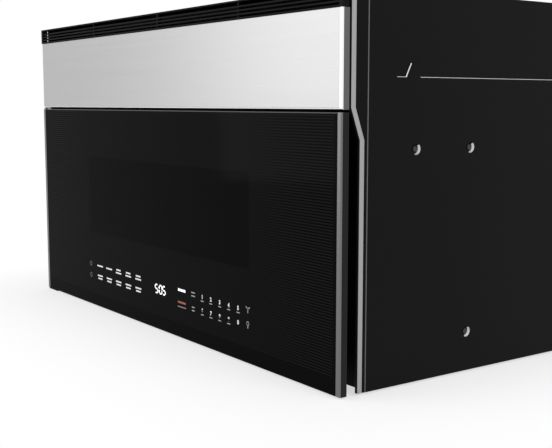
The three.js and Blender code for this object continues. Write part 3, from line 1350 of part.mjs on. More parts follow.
/** The latch board behind the face: it holds the three interlock switches in line with the hooks. */
function latchBoard() {
  const x = latchX + LATCH_SLOT_WIDTH / 2 + 4;
  const z = [LOWER_HOOK - BOARD_BELOW, upperHook + BOARD_ABOVE];
  const parts = [
    box([x, x + BOARD_SIDE], [insideFace, insideFace + boardReach], z),
    box([x, x + BOARD_FLANGE], [insideFace, insideFace + 2], z),
  ];
  for (const height of Object.values(plungerHeights)) {
    parts.push(box(
      [latchX - 5, x + 1], [switchFront, switchFront + SWITCH_DEPTH],
      [height - SWITCH_HALF, height + SWITCH_HALF]));
  }
  let board = join(...parts);
  for (const height of Object.values(plungerHeights)) {
    board = cut(board, rod('y', [latchX, switchFront, height], PLUNGER_RADIUS + SEAT, 2 * SWITCH_BORE, 16));
  }
  return piece('latch_board', board, whitePlastic);
}

/** A switch plunger, pressed by a hook as the door shuts. */
function plunger(name, height) {
  const length = switchFront + PLUNGER_REST - plungerFace;
  const mesh = piece(name, rod('y', [0, length / 2, 0], PLUNGER_RADIUS, length, 16), rubber);
  mesh.position.set(latchX, plungerFace, height);
  return mesh;
}

// ---------------------------------------------------------------- assembly

const microwave = new THREE.Group();
microwave.add(
  basePan(), sidePanel('left_side_panel', -1), sidePanel('right_side_panel', 1), topCover(), cordGrommet(),
  backPanel(), frontFrame(), hoodFloorPlate(), bayFloorPlate(),
  edgeStrip('left_edge_strip', -1), edgeStrip('right_edge_strip', 1),
  sideTrim('left_side_trim', -1), sideTrim('right_side_trim', 1),
  fascia(), ventCarrier(), ventGrille(), charcoalFilter(),
  greaseFilter('left_grease_filter', -1), greaseFilter('right_grease_filter', 1), lampCover(), cooktopLamp(),
  cavityBox(), waveguideCover(), cavityLamp(), turntableMotor(), turntable(),
  magnetron(), transformer(), capacitor(), fanFrame(), fanBlade(), mainBoard(), blower(),
  hingeBracket('lower_hinge_bracket', 0.1, 1),
  hingeBracket('upper_hinge_bracket', doorTop + (FASCIA_GAP - HINGE_SHEET) / 2, -1),
  door(), latchBoard(),
  plunger('primary_plunger', plungerHeights.primary),
  plunger('monitor_plunger', plungerHeights.monitor),
  plunger('secondary_plunger', plungerHeights.secondary));

export default microwave;
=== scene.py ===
"""Looks of an over the range microwave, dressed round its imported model.

All lengths are in metres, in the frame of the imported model: +X to the right,
+Y from the front to the wall and +Z up.
"""

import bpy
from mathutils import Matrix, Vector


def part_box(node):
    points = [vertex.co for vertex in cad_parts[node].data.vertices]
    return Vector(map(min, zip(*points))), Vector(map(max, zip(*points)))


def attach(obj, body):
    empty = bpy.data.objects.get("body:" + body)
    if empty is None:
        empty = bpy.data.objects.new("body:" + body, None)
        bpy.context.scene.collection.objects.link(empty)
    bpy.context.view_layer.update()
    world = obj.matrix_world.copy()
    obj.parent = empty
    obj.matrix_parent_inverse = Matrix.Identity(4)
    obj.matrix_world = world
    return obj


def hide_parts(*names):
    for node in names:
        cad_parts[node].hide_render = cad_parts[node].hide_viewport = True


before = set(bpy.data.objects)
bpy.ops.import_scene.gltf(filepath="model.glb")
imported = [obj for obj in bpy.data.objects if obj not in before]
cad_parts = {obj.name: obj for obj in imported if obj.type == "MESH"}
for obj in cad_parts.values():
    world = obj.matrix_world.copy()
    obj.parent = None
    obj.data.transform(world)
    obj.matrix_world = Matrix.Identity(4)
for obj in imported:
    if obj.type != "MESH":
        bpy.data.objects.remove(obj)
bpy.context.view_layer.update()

import logging
import math
from contextlib import contextmanager
from dataclasses import dataclass
from enum import Enum
from typing import Callable, Iterator

import bmesh
import bpy
from mathutils import Matrix, Vector

MM = 0.001
NEAR = 0.1 * MM  # how near a plane counts as on it
ALONG = 0.9  # least cosine between a direction and the axis that it follows
ACROSS = 0.1  # largest cosine between a direction and an axis square to it
FACING = 0.5  # cosine that tells a face that looks one way from its neighbours
MERGED = 0.002 * MM  # how near two corners of a copied node count as one
FLAT_ANGLE = 0.5  # degrees up to which neighbouring faces are made one
SOFT_ANGLE = 35.0  # degrees up to which a bend is smooth and not an edge
ROUND_ANGLE = 50.0  # the same for trims, side sheets and the tray, with their coarser curves
BEND_SEGMENTS = 4
LOG = logging.getLogger("microwave")

Piece = bpy.types.Object
Node = bpy.types.Node
Socket = bpy.types.NodeSocket
Colour = float | tuple[float, float, float, float]  # a grey's linear value, or RGBA
Range = tuple[float, float]
Test = Callable[[Vector, Vector], bool]


class Side(Enum):
    """The two sides of the case, as signs along X."""

    LEFT = -1
    RIGHT = 1

    @property
    def word(self) -> str:
        """The side as the first word of a piece's name."""
        return self.name.lower()


class Axis(Enum):
    """A direction that a primitive or a pattern follows."""

    X = 0
    Y = 1
    Z = 2


# ---------------- node groups

MIX_INPUTS = (0, 6, 7)  # the factor and the two colours of a Mix node set to RGBA
MIX_RESULT = 2


def tone(colour: object) -> object:
    """A grey's value as RGBA, or whatever else is given as it is."""
    return (colour, colour, colour, 1.0) if isinstance(colour, (int, float)) else colour


class NodeBook:
    """Adds and links shader nodes in one tree."""

    def __init__(self, tree: bpy.types.NodeTree) -> None:
        """Keeps the tree of a material or a group, which the nodes go into."""
        self.tree = tree

    def add(self, kind: str, **settings: object) -> Node:
        """Adds a node and sets its properties.

        Args:
            kind: The node's type without its ShaderNode prefix.
            **settings: Properties of the node by name.

        Returns:
            The new node.
        """
        node = self.tree.nodes.new("ShaderNode" + kind)
        for name, value in settings.items():
            setattr(node, name, value)
        return node

    def put(self, target: Socket, value: object) -> None:
        """Sets or links one input.

        Args:
            target: The input.
            value: A constant or an output socket.
        """
        if isinstance(value, Socket):
            self.tree.links.new(value, target)
        else:
            target.default_value = value

    def feed(self, node: Node, **values: object) -> Node:
        """Sets or links inputs of a node.

        Args:
            node: The node to feed.
            **values: A constant or an output socket for each input; an underscore
                stands for a space.

        Returns:
            The same node.
        """
        for name, value in values.items():
            self.put(node.inputs[name.replace("_", " ")], value)
        return node

    def math(self, operation: str, first: object, second: object = 0.0) -> Socket:
        """Adds a Math node.

        Args:
            operation: The node's operation, such as MULTIPLY.
            first: A number or an output socket.
            second: A number or an output socket.

        Returns:
            The value that it puts out.
        """
        node = self.add("Math", operation=operation)
        self.put(node.inputs[0], first)
        self.put(node.inputs[1], second)
        return node.outputs[0]

    def blend(self, factor: object, first: object, second: object) -> Socket:
        """Mixes two colours.

        Args:
            factor: A number or an output socket.
            first: The colour at 0.
            second: The colour at 1.

        Returns:
            The mixed colour.
        """
        node = self.add("Mix", data_type="RGBA")
        for index, value in zip(MIX_INPUTS, (factor, tone(first), tone(second))):
            self.put(node.inputs[index], value)
        return node.outputs[MIX_RESULT]

    def either(self, factor: object, first: Socket, second: Socket) -> Socket:
        """Mixes two shaders.

        Args:
            factor: A number or an output socket.
            first: The shader at 0.
            second: The shader at 1.

        Returns:
            The mixed shader.
        """
        node = self.add("MixShader")
        for target, value in zip(node.inputs, (factor, first, second)):
            self.put(target, value)
        return node.outputs[0]

    def span(self, value: object, start: float, end: float, low: float = 0.0,
             high: float = 1.0) -> Socket:
        """Maps a value so that start gives low and end gives high."""
        return self.feed(self.add("MapRange"), Value=value, From_Min=start, From_Max=end,
                         To_Min=low, To_Max=high).outputs[0]

    def coat(self, **values: object) -> Node:
        """Sets or links inputs of the tree's Principled shader, which it returns."""
        return self.feed(self.tree.nodes["Principled BSDF"], **values)

    def relief(self, height: object, strength: float, distance: float) -> Socket:
        """The normal of a surface bumped by a height, as high as distance."""
        return self.feed(self.add("Bump"), Height=height, Strength=strength,
                         Distance=distance).outputs[0]

    def place(self) -> Socket:
        """The point on the object, in its own coordinates."""
        return self.add("TexCoord").outputs["Object"]

    def split(self) -> bpy.types.NodeOutputs:
        """The X, Y and Z of the point on the object."""
        return self.feed(self.add("SeparateXYZ"), Vector=self.place()).outputs

    def seen(self) -> Socket:
        """Tells rays that look from plain light.

        Returns:
            1 for the camera, gloss and glass, and 0 for the rest.
        """
        path = self.add("LightPath").outputs
        return self.math("MAXIMUM", path["Is Camera Ray"], self.math(
            "MAXIMUM", path["Is Glossy Ray"], path["Is Transmission Ray"]))


def noise_group(name: str, knob: str, share: float, fine: dict[str, object],
                broad: dict[str, object]) -> bpy.types.NodeTree:
    """Fine noise over broad noise, on Object coordinates.

    Args:
        name: The group's name.
        knob: The group's input: Scale, which sets the fine noise's scale, or
            Stretch, which draws both noises out.
        share: Share of the fine noise in Fac, from 0 to 1.
        fine: Inputs of the fine noise.
        broad: Inputs of the broad noise.

    Returns:
        A node group with a Fac and a Height output.
    """
    stretched = knob == "Stretch"
    tree = bpy.data.node_groups.new(name, "ShaderNodeTree")
    tree.interface.new_socket(knob, in_out="INPUT",
                              socket_type="NodeSocketVector" if stretched else "NodeSocketFloat")
    for output in ("Fac", "Height"):
        tree.interface.new_socket(output, in_out="OUTPUT", socket_type="NodeSocketFloat")
    book = NodeBook(tree)
    entry = tree.nodes.new("NodeGroupInput").outputs[0]
    leave = tree.nodes.new("NodeGroupOutput")
    place = book.place()
    if stretched:
        place = book.feed(book.add("Mapping"), Vector=place, Scale=entry).outputs[0]
    else:
        fine = {"Scale": entry, **fine}
    small, large = (book.feed(book.add("TexNoise"), Vector=place, **values).outputs[0]
                    for values in (fine, broad))
    book.put(leave.inputs[0], book.math("ADD", book.math("MULTIPLY", small, share),
                                        book.math("MULTIPLY", large, 1.0 - share)))
    book.put(leave.inputs[1], small)
    return tree


GRAIN = noise_group("fine_grain", "Scale", 0.5, {"Detail": 3.0}, {"Scale": 14.0, "Detail": 2.0})
STREAKS = noise_group("brushed_streaks", "Stretch", 0.6,
                      {"Scale": 1.0, "Detail": 4.0, "Roughness": 0.7},
                      {"Scale": 0.18, "Detail": 2.0})

# ---------------- finishes

NOISE_SPAN = (0.3, 0.7)  # the part of a noise's range that holds nearly all of it
GRAIN_RELIEF = 0.2 * MM
STREAK_RELIEF = 0.05 * MM
STREAK_FINENESS = 2600.0  # noise scale across brushed streaks
STREAK_LENGTH = 9.0  # noise scale along them


def tinted(value: float, red: float, green: float, blue: float) -> Colour:
    """A grey of one linear value, with a factor for each channel."""
    return (value * red, value * green, value * blue, 1.0)


@dataclass(frozen=True)
class Finish:
    """A material, and the record's slot that it belongs to."""

    name: str
    slot: str

    def build(self) -> bpy.types.Material:
        """Makes the material.

        Returns:
            The material.
        """
        material = bpy.data.materials.new(self.name)
        material.use_nodes = True
        self.fill(NodeBook(material.node_tree))
        return material

    def fill(self, book: NodeBook) -> None:
        """Feeds the shader; each kind of finish does it its own way.

        Args:
            book: The book on the material's tree.
        """
        raise NotImplementedError

    @staticmethod
    def noise(book: NodeBook, group: bpy.types.NodeTree, rough: Range,
              **knobs: object) -> tuple[Node, Socket]:
        """Adds a noise group and a roughness that follows it.

        Args:
            book: The book on the material's tree.
            group: The noise group.
            rough: Lowest and highest roughness.
            **knobs: The group's input.

        Returns:
            The group's node and the roughness.
        """
        noise = book.feed(book.add("Group", node_tree=group), **knobs)
        return noise, book.span(noise.outputs["Fac"], *NOISE_SPAN, *rough)


@dataclass(frozen=True)
class GrainFinish(Finish):
    """Enamel, moulded plastic, rubber or board: one colour with a fine grain."""

    low: Colour
    high: Colour
    rough: Range = (0.4, 0.5)
    scale: float = 900.0
    bump: float = 0.04
    level: float = 0.3
    metallic: float = 0.0

    def fill(self, book: NodeBook) -> None:
        """Feeds the shader from the grain.

        Args:
            book: The book on the material's tree.
        """
        grain, rough = self.noise(book, GRAIN, self.rough, Scale=self.scale)
        book.coat(Base_Color=book.blend(grain.outputs["Fac"], self.low, self.high),
                  Roughness=rough, Specular_IOR_Level=self.level, Metallic=self.metallic,
                  Normal=book.relief(grain.outputs["Height"], self.bump, GRAIN_RELIEF))


@dataclass(frozen=True)
class BrushedFinish(Finish):
    """Brushed metal, with its streaks along one axis."""

    low: Colour
    high: Colour
    along: Axis = Axis.X
    rough: Range = (0.24, 0.38)
    bump: float = 0.12

    def fill(self, book: NodeBook) -> None:
        """Feeds the shader from the streaks.

        Args:
            book: The book on the material's tree.
        """
        stretch = [STREAK_FINENESS] * 3
        stretch[self.along.value] = STREAK_LENGTH
        streaks, rough = self.noise(book, STREAKS, self.rough, Stretch=tuple(stretch))
        book.coat(Base_Color=book.blend(streaks.outputs["Fac"], self.low, self.high),
                  Roughness=rough, Metallic=1.0,
                  Normal=book.relief(streaks.outputs["Height"], self.bump, STREAK_RELIEF))


@dataclass(frozen=True)
class PrintedGlassFinish(Finish):
    """Black glass printed on its back with fine level lines round a plain window.

    The lines grow stronger outward in X and upward in Z, between the places in
    outward and upward, from least_outward and up to most_upward.
    """

    ground: float = 0.0018
    line: float = 0.0088
    window: float = 0.0034
    pitch: float = 3.15 * MM
    stripe: Range = (0.2, 0.3)
    window_half: float = 213 * MM
    window_low: float = 112.9 * MM
    window_high: float = 223.9 * MM
    band_top: float = 20.4 * MM
    edge: float = 366.5 * MM
    outward: Range = (190 * MM, 330 * MM)
    least_outward: float = 0.1
    upward: Range = (80 * MM, 120 * MM)
    most_upward: float = 0.4
    grain: float = 60.0
    rough: Range = (0.06, 0.09)
    level: float = 0.007

    def fill(self, book: NodeBook) -> None:
        """Feeds the shader from the printed lines, the window and the plain border.

        Args:
            book: The book on the material's tree.
        """
        point = book.split()
        x = book.math("ABSOLUTE", point["X"])
        z = point["Z"]
        phase = book.math("FRACT", book.math("DIVIDE", z, self.pitch))
        wave = book.math("ABSOLUTE", book.math("SUBTRACT", phase, 0.5))
        off_window = book.math("MAXIMUM", book.math("GREATER_THAN", x, self.window_half), book.math(
            "MAXIMUM", book.math("LESS_THAN", z, self.window_low),
            book.math("GREATER_THAN", z, self.window_high)))
        inside = book.math("MULTIPLY", book.math("GREATER_THAN", z, self.band_top),
                           book.math("LESS_THAN", x, self.edge))
        contrast = book.math("MAXIMUM", book.span(x, *self.outward, self.least_outward),
                             book.span(z, *self.upward, 0.0, self.most_upward))
        lines = book.blend(book.span(wave, *self.stripe), self.ground,
                           tinted(self.line, 1.0, 1.0, 1.03))
        printed = book.blend(contrast, (self.ground + self.line) / 2, lines)
        region = book.math("MULTIPLY", off_window, inside)
        book.coat(Base_Color=book.blend(region, self.window, printed),
                  Roughness=self.noise(book, GRAIN, self.rough, Scale=self.grain)[1],
                  Specular_IOR_Level=self.level)


@dataclass(frozen=True)
class ClearGlassFinish(Finish):
    """Clear glass of the tray and the inner pane, or frosted plastic of the lamp cover."""

    tint: Colour
    rough: Range = (0.02, 0.05)
    scale: float = 40.0
    brightest: Colour = 0.95
    clearness: float = 0.92
    ior: float = 1.47

    def fill(self, book: NodeBook) -> None:
        """Feeds the shader from a slow grain.

        Args:
            book: The book on the material's tree.
        """
        grain, rough = self.noise(book, GRAIN, self.rough, Scale=self.scale)
        book.coat(Base_Color=book.blend(grain.outputs["Fac"], self.tint, self.brightest),
                  Roughness=rough, Transmission_Weight=self.clearness, IOR=self.ior)


@dataclass(frozen=True)
class LitFinish(Finish):
    """Print and display segments that glow a little behind the glass: a painted glow on the print,
    the display's own light in the clock figures.
    """

    colour: Colour
    dim: Colour
    strength: float
    scale: float = 700.0

    def fill(self, book: NodeBook) -> None:
        """Feeds the shader and its glow from one colour.

        Args:
            book: The book on the material's tree.
        """
        grain = book.feed(book.add("Group", node_tree=GRAIN), Scale=self.scale)
        glow = book.blend(grain.outputs["Fac"], self.dim, self.colour)
        book.coat(Base_Color=glow, Emission_Color=glow, Emission_Strength=self.strength,
                  Roughness=0.4, Specular_IOR_Level=0.1)


@dataclass(frozen=True)
class ScreenFinish(Finish):
    """The window screen: rows of small round holes in black sheet.

    Each pair holds the value in a hole, then the one on the sheet.
    """

    pitch: float = 3.2 * MM
    hole: float = 0.36
    colours: Range = (0.001, 0.02)
    rough: Range = (0.9, 0.4)

    def fill(self, book: NodeBook) -> None:
        """Feeds the shader from the rows of holes.

        Args:
            book: The book on the material's tree.
        """
        point = book.split()
        parts = []
        for socket in ("X", "Z"):
            phase = book.math("FRACT", book.math("DIVIDE", point[socket], self.pitch))
            parts.append(book.math("POWER", book.math("SUBTRACT", phase, 0.5), 2.0))
        metal = book.math("GREATER_THAN", book.math("SQRT", book.math("ADD", *parts)), self.hole)
        book.coat(Base_Color=book.blend(metal, *self.colours),
                  Roughness=book.span(metal, 0.0, 1.0, *self.rough), Specular_IOR_Level=0.2)


SATIN_ROUGH = (0.3, 0.4)  # roughness of a satin metal and of the painted highlights and shade on some edges
BLACK_SHEET = GrainFinish("black_enamelled_sheet", "black_sheet", 0.0036, 0.0066,
                          (0.42, 0.55), 1400.0, 0.05, 0.05)
# painted highlight along the rounded front edge of each side panel
SHEET_EDGE_HIGHLIGHT = GrainFinish("painted_sheet_edge_highlight", "black_sheet", 0.09, 0.14, SATIN_ROUGH, 900.0, 0.05, 0.4)
# painted highlight along the rounded shoulder of each side panel
SHOULDER_HIGHLIGHT = GrainFinish("painted_shoulder_highlight", "black_sheet", 0.5, 0.66, SATIN_ROUGH, 900.0, 0.05, 0.4)
# painted highlight on the slanted front edge of the tab over the shoulder
TAB_HIGHLIGHT = GrainFinish("painted_tab_highlight", "black_sheet", 0.8, 0.9, SATIN_ROUGH, 900.0, 0.05, 0.5)
# painted highlight: a crescent on the lit side of the walls of the screw dimples
DIMPLE_HIGHLIGHT = GrainFinish("painted_dimple_highlight", "black_sheet", 0.48, 0.64, (0.25, 0.35), 900.0,
                        0.04, 0.5, 1.0)
# painted shade on the sides of the door trims and on the edge strips' faces that look forward
TRIM_SHADE = GrainFinish("painted_trim_shade", "satin_trim", 0.006, 0.014, (0.35, 0.5), 900.0, 0.03, 0.1)
# painted highlight on the upper front bevel of the door glass
GLASS_EDGE_HIGHLIGHT = GrainFinish("painted_glass_edge_highlight", "black_glass", 0.03, 0.05, SATIN_ROUGH, 900.0, 0.03, 0.3)
DARK_SCREW = GrainFinish("blackened_screw", "zinc_sheet", 0.03, 0.06, (0.3, 0.42), 900.0, 0.05, 0.4,
                         0.7)
BLACK_PLASTIC = GrainFinish("black_moulded_plastic", "black_plastic", 0.003, 0.006,
                            (0.5, 0.62), 1100.0, 0.08, 0.05)
WHITE_PLASTIC = GrainFinish("natural_white_plastic", "white_plastic", tinted(0.52, 1, 0.99, 0.94),
                            tinted(0.62, 1, 0.99, 0.94), (0.4, 0.5), 700.0)
GREY_PLASTIC = GrainFinish("grey_moulded_plastic", "grey_plastic", 0.07, 0.1)
GREY_ENAMEL = GrainFinish("speckled_grey_enamel", "enamel", 0.13, 0.26,
                          (0.25, 0.4), 2200.0, 0.05, 0.5)
GREEN_BOARD = GrainFinish("green_circuit_board", "board", tinted(1, 0.012, 0.06, 0.024),
                          tinted(1, 0.02, 0.09, 0.035), (0.35, 0.5), 500.0)
CARBON_BED = GrainFinish("charcoal_granules", "carbon", 0.003, 0.02, (0.8, 0.95), 420.0, 0.7)
MICA_SHEET = GrainFinish("mica_sheet", "mica", tinted(1, 0.25, 0.22, 0.15),
                         tinted(1, 0.36, 0.33, 0.25), (0.3, 0.5), 260.0)
COPPER_WINDING = GrainFinish("varnished_winding", "copper", tinted(1, 0.16, 0.05, 0.02),
                             tinted(1, 0.34, 0.12, 0.04), (0.3, 0.45), 900.0, 0.2, 0.4, 0.8)
BLACK_RUBBER = GrainFinish("black_rubber", "rubber", 0.006, 0.012, (0.65, 0.8), 800.0)
STAINLESS = BrushedFinish("brushed_stainless", "stainless", 0.375, 0.455, Axis.X, (0.26, 0.36))
# painted highlight on the fascia's hems, and below it painted shade on its side returns
HEM_HIGHLIGHT = BrushedFinish("painted_steel_hem_highlight", "stainless", 0.9, 0.97, Axis.X, (0.2, 0.3), 0.04)
SIDE_SHADE = BrushedFinish("painted_steel_side_shade", "stainless", 0.1, 0.15, Axis.Z, SATIN_ROUGH, 0.05)
SATIN_STRIP = BrushedFinish("satin_edge_strip", "satin_trim", 0.29, 0.42, Axis.Z, SATIN_ROUGH, 0.05)
SATIN_TRIM = BrushedFinish("satin_door_trim", "satin_trim", 0.13, 0.2, Axis.Z, SATIN_ROUGH, 0.05)
ZINC_SHEET = BrushedFinish("zinc_coated_sheet", "zinc_sheet", 0.36, 0.5, Axis.Y, (0.35, 0.5))
ALUMINIUM = BrushedFinish("mill_aluminium", "aluminium", 0.42, 0.6, Axis.X, (0.3, 0.45))
PRINTED_GLASS = PrintedGlassFinish("printed_black_glass", "black_glass")
CLEAR_GLASS = ClearGlassFinish("clear_glass", "clear_glass", tinted(0.85, 0.97, 1.0, 0.99))
LAMP_LENS = ClearGlassFinish("frosted_lens", "lens", 0.8, (0.35, 0.45))
PERFORATED = ScreenFinish("perforated_screen", "black_sheet")
# the glow of the print finishes is painted light; CLOCK_LIGHT is the display's own light, but on
# the start mark it is a painted glow
WHITE_PRINT = LitFinish("white_print", "white_plastic", 0.62, 0.5, 0.4)
GREY_PRINT = LitFinish("grey_print", "white_plastic", 0.33, 0.27, 0.18)
ICON_PRINT = LitFinish("icon_print", "white_plastic", 0.24, 0.18, 0.15)
DIM_PRINT = LitFinish("dim_print", "white_plastic", 0.12, 0.09, 0.1)
CLOCK_LIGHT = LitFinish("clock_light", "white_plastic", 0.95, 0.8, 0.8)
RED_PRINT = LitFinish("red_print", "white_plastic", tinted(0.78, 0.36, 0.115, 0.08),
                      tinted(0.78, 0.28, 0.09, 0.06), 0.2)

SHELF: dict[str, bpy.types.Material] = {}


def take(finish: Finish) -> bpy.types.Material:
    """The material of a finish.

    Args:
        finish: The finish that is wanted.

    Returns:
        Its material, built on first use.
    """
    if finish.name not in SHELF:
        SHELF[finish.name] = finish.build()
    return SHELF[finish.name]


# ---------------- workshop


def deselect_all() -> None:
    """Leaves nothing selected and nothing active."""
    if bpy.context.mode != "OBJECT":
        bpy.ops.object.mode_set(mode="OBJECT")
    bpy.ops.object.select_all(action="DESELECT")
    bpy.context.view_layer.objects.active = None


def pick(*pieces: Piece) -> None:
    """Selects pieces and makes the first one active.

    Args:
        *pieces: The pieces.
    """
    deselect_all()
    for piece in pieces:
        piece.select_set(True)
    bpy.context.view_layer.objects.active = pieces[0]


@contextmanager
def editing(piece: Piece, mode: str, test: Test | None = None
            ) -> Iterator[bmesh.types.BMesh]:
    """Edit mode on one piece, with all of its mesh or a part of it selected.

    Args:
        piece: The piece to edit.
        mode: VERT, EDGE or FACE.
        test: Picks faces by their middle and normal, or in EDGE mode edges by
            their middle and direction.

    Yields:
        The piece's edit mesh.
    """
    pick(piece)
    bpy.ops.object.mode_set(mode="EDIT")
    bpy.ops.mesh.select_mode(type=mode)
    bpy.ops.mesh.select_all(action="DESELECT" if test else "SELECT")
    mesh = bmesh.from_edit_mesh(piece.data)
    if test and mode == "EDGE":
        for edge in mesh.edges:
            first, last = (vertex.co for vertex in edge.verts)
            edge.select_set(test((first + last) / 2, (last - first).normalized()))
    elif test:
        for face in mesh.faces:
            face.select_set(test(face.calc_center_median(), face.normal))
    if test:
        bmesh.update_edit_mesh(piece.data)
    yield mesh
    bpy.ops.object.mode_set(mode="OBJECT")


def bevel_where(piece: Piece, width: float, segments: int, test: Test) -> None:
    """Rounds the edges that pass a test.

    Args:
        piece: The piece.
        width: Width of the rounding.
        segments: Faces across the rounding.
        test: Takes an edge's middle and its direction.
    """
    with editing(piece, "EDGE", test):
        bpy.ops.mesh.bevel(offset=width, segments=segments)


def settle(name: str, piece: Piece | None = None) -> Piece:
    """Names a piece and moves its place into its mesh.

    Args:
        name: Its name.
        piece: The piece, or else the active one.

    Returns:
        The same piece, with its object at the origin.
    """
    piece = piece or bpy.context.active_object
    pick(piece)
    piece.name = name
    piece.data.name = name
    bpy.ops.object.transform_apply(location=True, rotation=True, scale=True)
    return piece


def block(name: str, low: Vector, high: Vector) -> Piece:
    """Adds a cube between two corners.

    Args:
        name: The piece's name.
        low: Lowest corner.
        high: Highest corner.

    Returns:
        The new piece.
    """
    deselect_all()
    bpy.ops.mesh.primitive_cube_add(size=1.0, location=(low + high) / 2)
    bpy.context.active_object.scale = high - low
    return settle(name)


def round_bar(name: str, centre: Vector, radius: float, depth: float, axis: Axis,
              sides: int = 32) -> Piece:
    """Adds a cylinder along an axis.

    Args:
        name: The piece's name.
        centre: Its middle.
        radius: Its radius.
        depth: Its length.
        axis: The way it points.
        sides: Number of sides.

    Returns:
        The new piece.
    """
    deselect_all()
    turns = {Axis.X: (0, math.pi / 2, 0), Axis.Y: (math.pi / 2, 0, 0), Axis.Z: (0, 0, 0)}
    bpy.ops.mesh.primitive_cylinder_add(vertices=sides, radius=radius, depth=depth,
                                        location=centre, rotation=turns[axis])
    return settle(name)


def apply_modifier(piece: Piece, kind: str, **settings: object) -> None:
    """Adds a modifier, sets it and applies it.

    Args:
        piece: The piece.
        kind: The modifier's type.
        **settings: Its properties by name.
    """
    pick(piece)
    modifier = piece.modifiers.new(kind.lower(), kind)
    for name, value in settings.items():
        setattr(modifier, name, value)
    bpy.ops.object.modifier_apply(modifier=modifier.name)


def smooth(piece: Piece, angle: float = SOFT_ANGLE) -> None:
    """Smooths a piece up to an angle and weights its normals by face size.

    Args:
        piece: The piece.
        angle: Sharpest smooth angle in degrees.
    """
    pick(piece)
    bpy.ops.object.shade_smooth_by_angle(angle=math.radians(angle))
    apply_modifier(piece, "WEIGHTED_NORMAL", keep_sharp=True)


def ease_edges(piece: Piece, width: float, segments: int = 3,
               angle: float = SOFT_ANGLE) -> None:
    """Rounds the sharp edges of a piece and smooths it.

    Args:
        piece: The piece.
        width: Width of the rounding.
        segments: Faces across the rounding.
        angle: Sharpest angle in degrees that is left as it is.
    """
    apply_modifier(piece, "BEVEL", width=width, segments=segments, limit_method="ANGLE",
                   angle_limit=math.radians(angle), use_clamp_overlap=True,
                   miter_outer="MITER_ARC")
    smooth(piece)


def join_pieces(name: str, pieces: list[Piece]) -> Piece:
    """Joins several meshes into one piece.

    Args:
        name: The joined piece's name.
        pieces: The meshes.

    Returns:
        The joined piece.
    """
    pick(*pieces)
    if len(pieces) > 1:
        bpy.ops.object.join()
    return settle(name)


def combine(piece: Piece, tools: list[Piece], operation: str) -> None:
    """Adds tools to a piece or cuts them out of it, and uses them up.

    Args:
        piece: The piece.
        tools: Closed meshes that don't touch each other.
        operation: UNION or DIFFERENCE.
    """
    tool = join_pieces("tool", tools)
    apply_modifier(piece, "BOOLEAN", object=tool, operation=operation, solver="EXACT")
    bpy.data.objects.remove(tool)


def dress(piece: Piece, finish: Finish, body: str, *nodes: str) -> Piece:
    """Gives a piece its finish, its body and the nodes that it stands for.

    Args:
        piece: The piece.
        finish: Its finish.
        body: The body that it rides on.
        *nodes: CAD nodes that it replaces.

    Returns:
        The same piece.
    """
    piece.data.materials.clear()
    piece.data.materials.append(take(finish))
    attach(piece, body)
    if nodes:
        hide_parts(*nodes)
    LOG.info("%s: %s on %s, %d faces", piece.name, finish.name, body, len(piece.data.polygons))
    return piece


def accent(piece: Piece, finish: Finish, test: Test) -> None:
    """Gives some faces of a dressed piece a second finish.

    Args:
        piece: The piece.
        finish: The second finish.
        test: Takes a face's middle and its normal.
    """
    piece.data.materials.append(take(finish))
    with editing(piece, "FACE", test):
        piece.active_material_index = len(piece.data.materials) - 1
        bpy.ops.object.material_slot_assign()


def paint(node: str, finish: Finish) -> None:
    """Gives a CAD node that stays a better finish.

    Args:
        node: The node's name.
        finish: Its finish.
    """
    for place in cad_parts[node].material_slots:
        place.link = "OBJECT"
        place.material = take(finish)
    LOG.info("%s: kept, %s", node, finish.name)


def refine(node: str, body: str, finish: Finish, width: float, segments: int = 2,
           angle: float = SOFT_ANGLE, bend: float = 0.0, bends: Test | None = None,
           shape: Callable[[Piece], None] | None = None) -> Piece:
    """Stands a copy of a CAD node with eased edges in its place.

    Args:
        node: The node's name.
        body: The body that it belongs to.
        finish: Its finish.
        width: Width of the eased edges.
        segments: Faces across an eased edge.
        angle: Sharpest angle in degrees that is left as it is.
        bend: Width of the wider rounding that some edges get first.
        bends: Picks those edges by an edge's middle and direction.
        shape: Changes the merged copy before its edges are eased.

    Returns:
        The new piece.
    """
    copy = bpy.data.objects.new(node + "_surface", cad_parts[node].data.copy())
    bpy.context.scene.collection.objects.link(copy)
    with editing(copy, "VERT"):
        bpy.ops.mesh.remove_doubles(threshold=MERGED)
    if shape:
        shape(copy)
    with editing(copy, "VERT"):
        bpy.ops.mesh.dissolve_limited(angle_limit=math.radians(FLAT_ANGLE))
    if bends:
        bevel_where(copy, bend, BEND_SEGMENTS, bends)
    with editing(copy, "FACE"):
        bpy.ops.mesh.quads_convert_to_tris(ngon_method="BEAUTY")
    ease_edges(copy, width, segments, angle)
    return dress(copy, finish, body, node)


def refine_all(body: str, *rows: tuple[str, Finish, float, int]) -> None:
    """Refines several nodes of one body.

    Args:
        body: The body that they belong to.
        *rows: A node, its finish, the width of its eased edges in mm and the faces
            across them.
    """
    for node, finish, width, segments in rows:
        refine(node, body, finish, width * MM, segments)


def screw_head(centre: Vector, axis: Axis, sign: int, radius: float,
               height: float) -> Piece:
    """A round screw head with a sunk drive.

    Args:
        centre: Its middle.
        axis: The axis that it lies along.
        sign: Which way along the axis it looks, 1 or -1.
        radius: Its radius.
        height: Its height.

    Returns:
        The head.
    """
    rim, sunk, rounding = 0.45, 0.54, 0.23  # shares of the radius and of the height
    head = round_bar("head", centre, radius, height, axis, sides=24)
    sink = Vector((0, 0, 0))
    sink[axis.value] = -sign * height * sunk
    with editing(head, "FACE", lambda middle, normal: normal[axis.value] * sign > ALONG):
        bpy.ops.mesh.inset(thickness=radius * rim)
        bpy.ops.transform.translate(value=sink)
    ease_edges(head, height * rounding, 2)
    return head


# ---------------- door


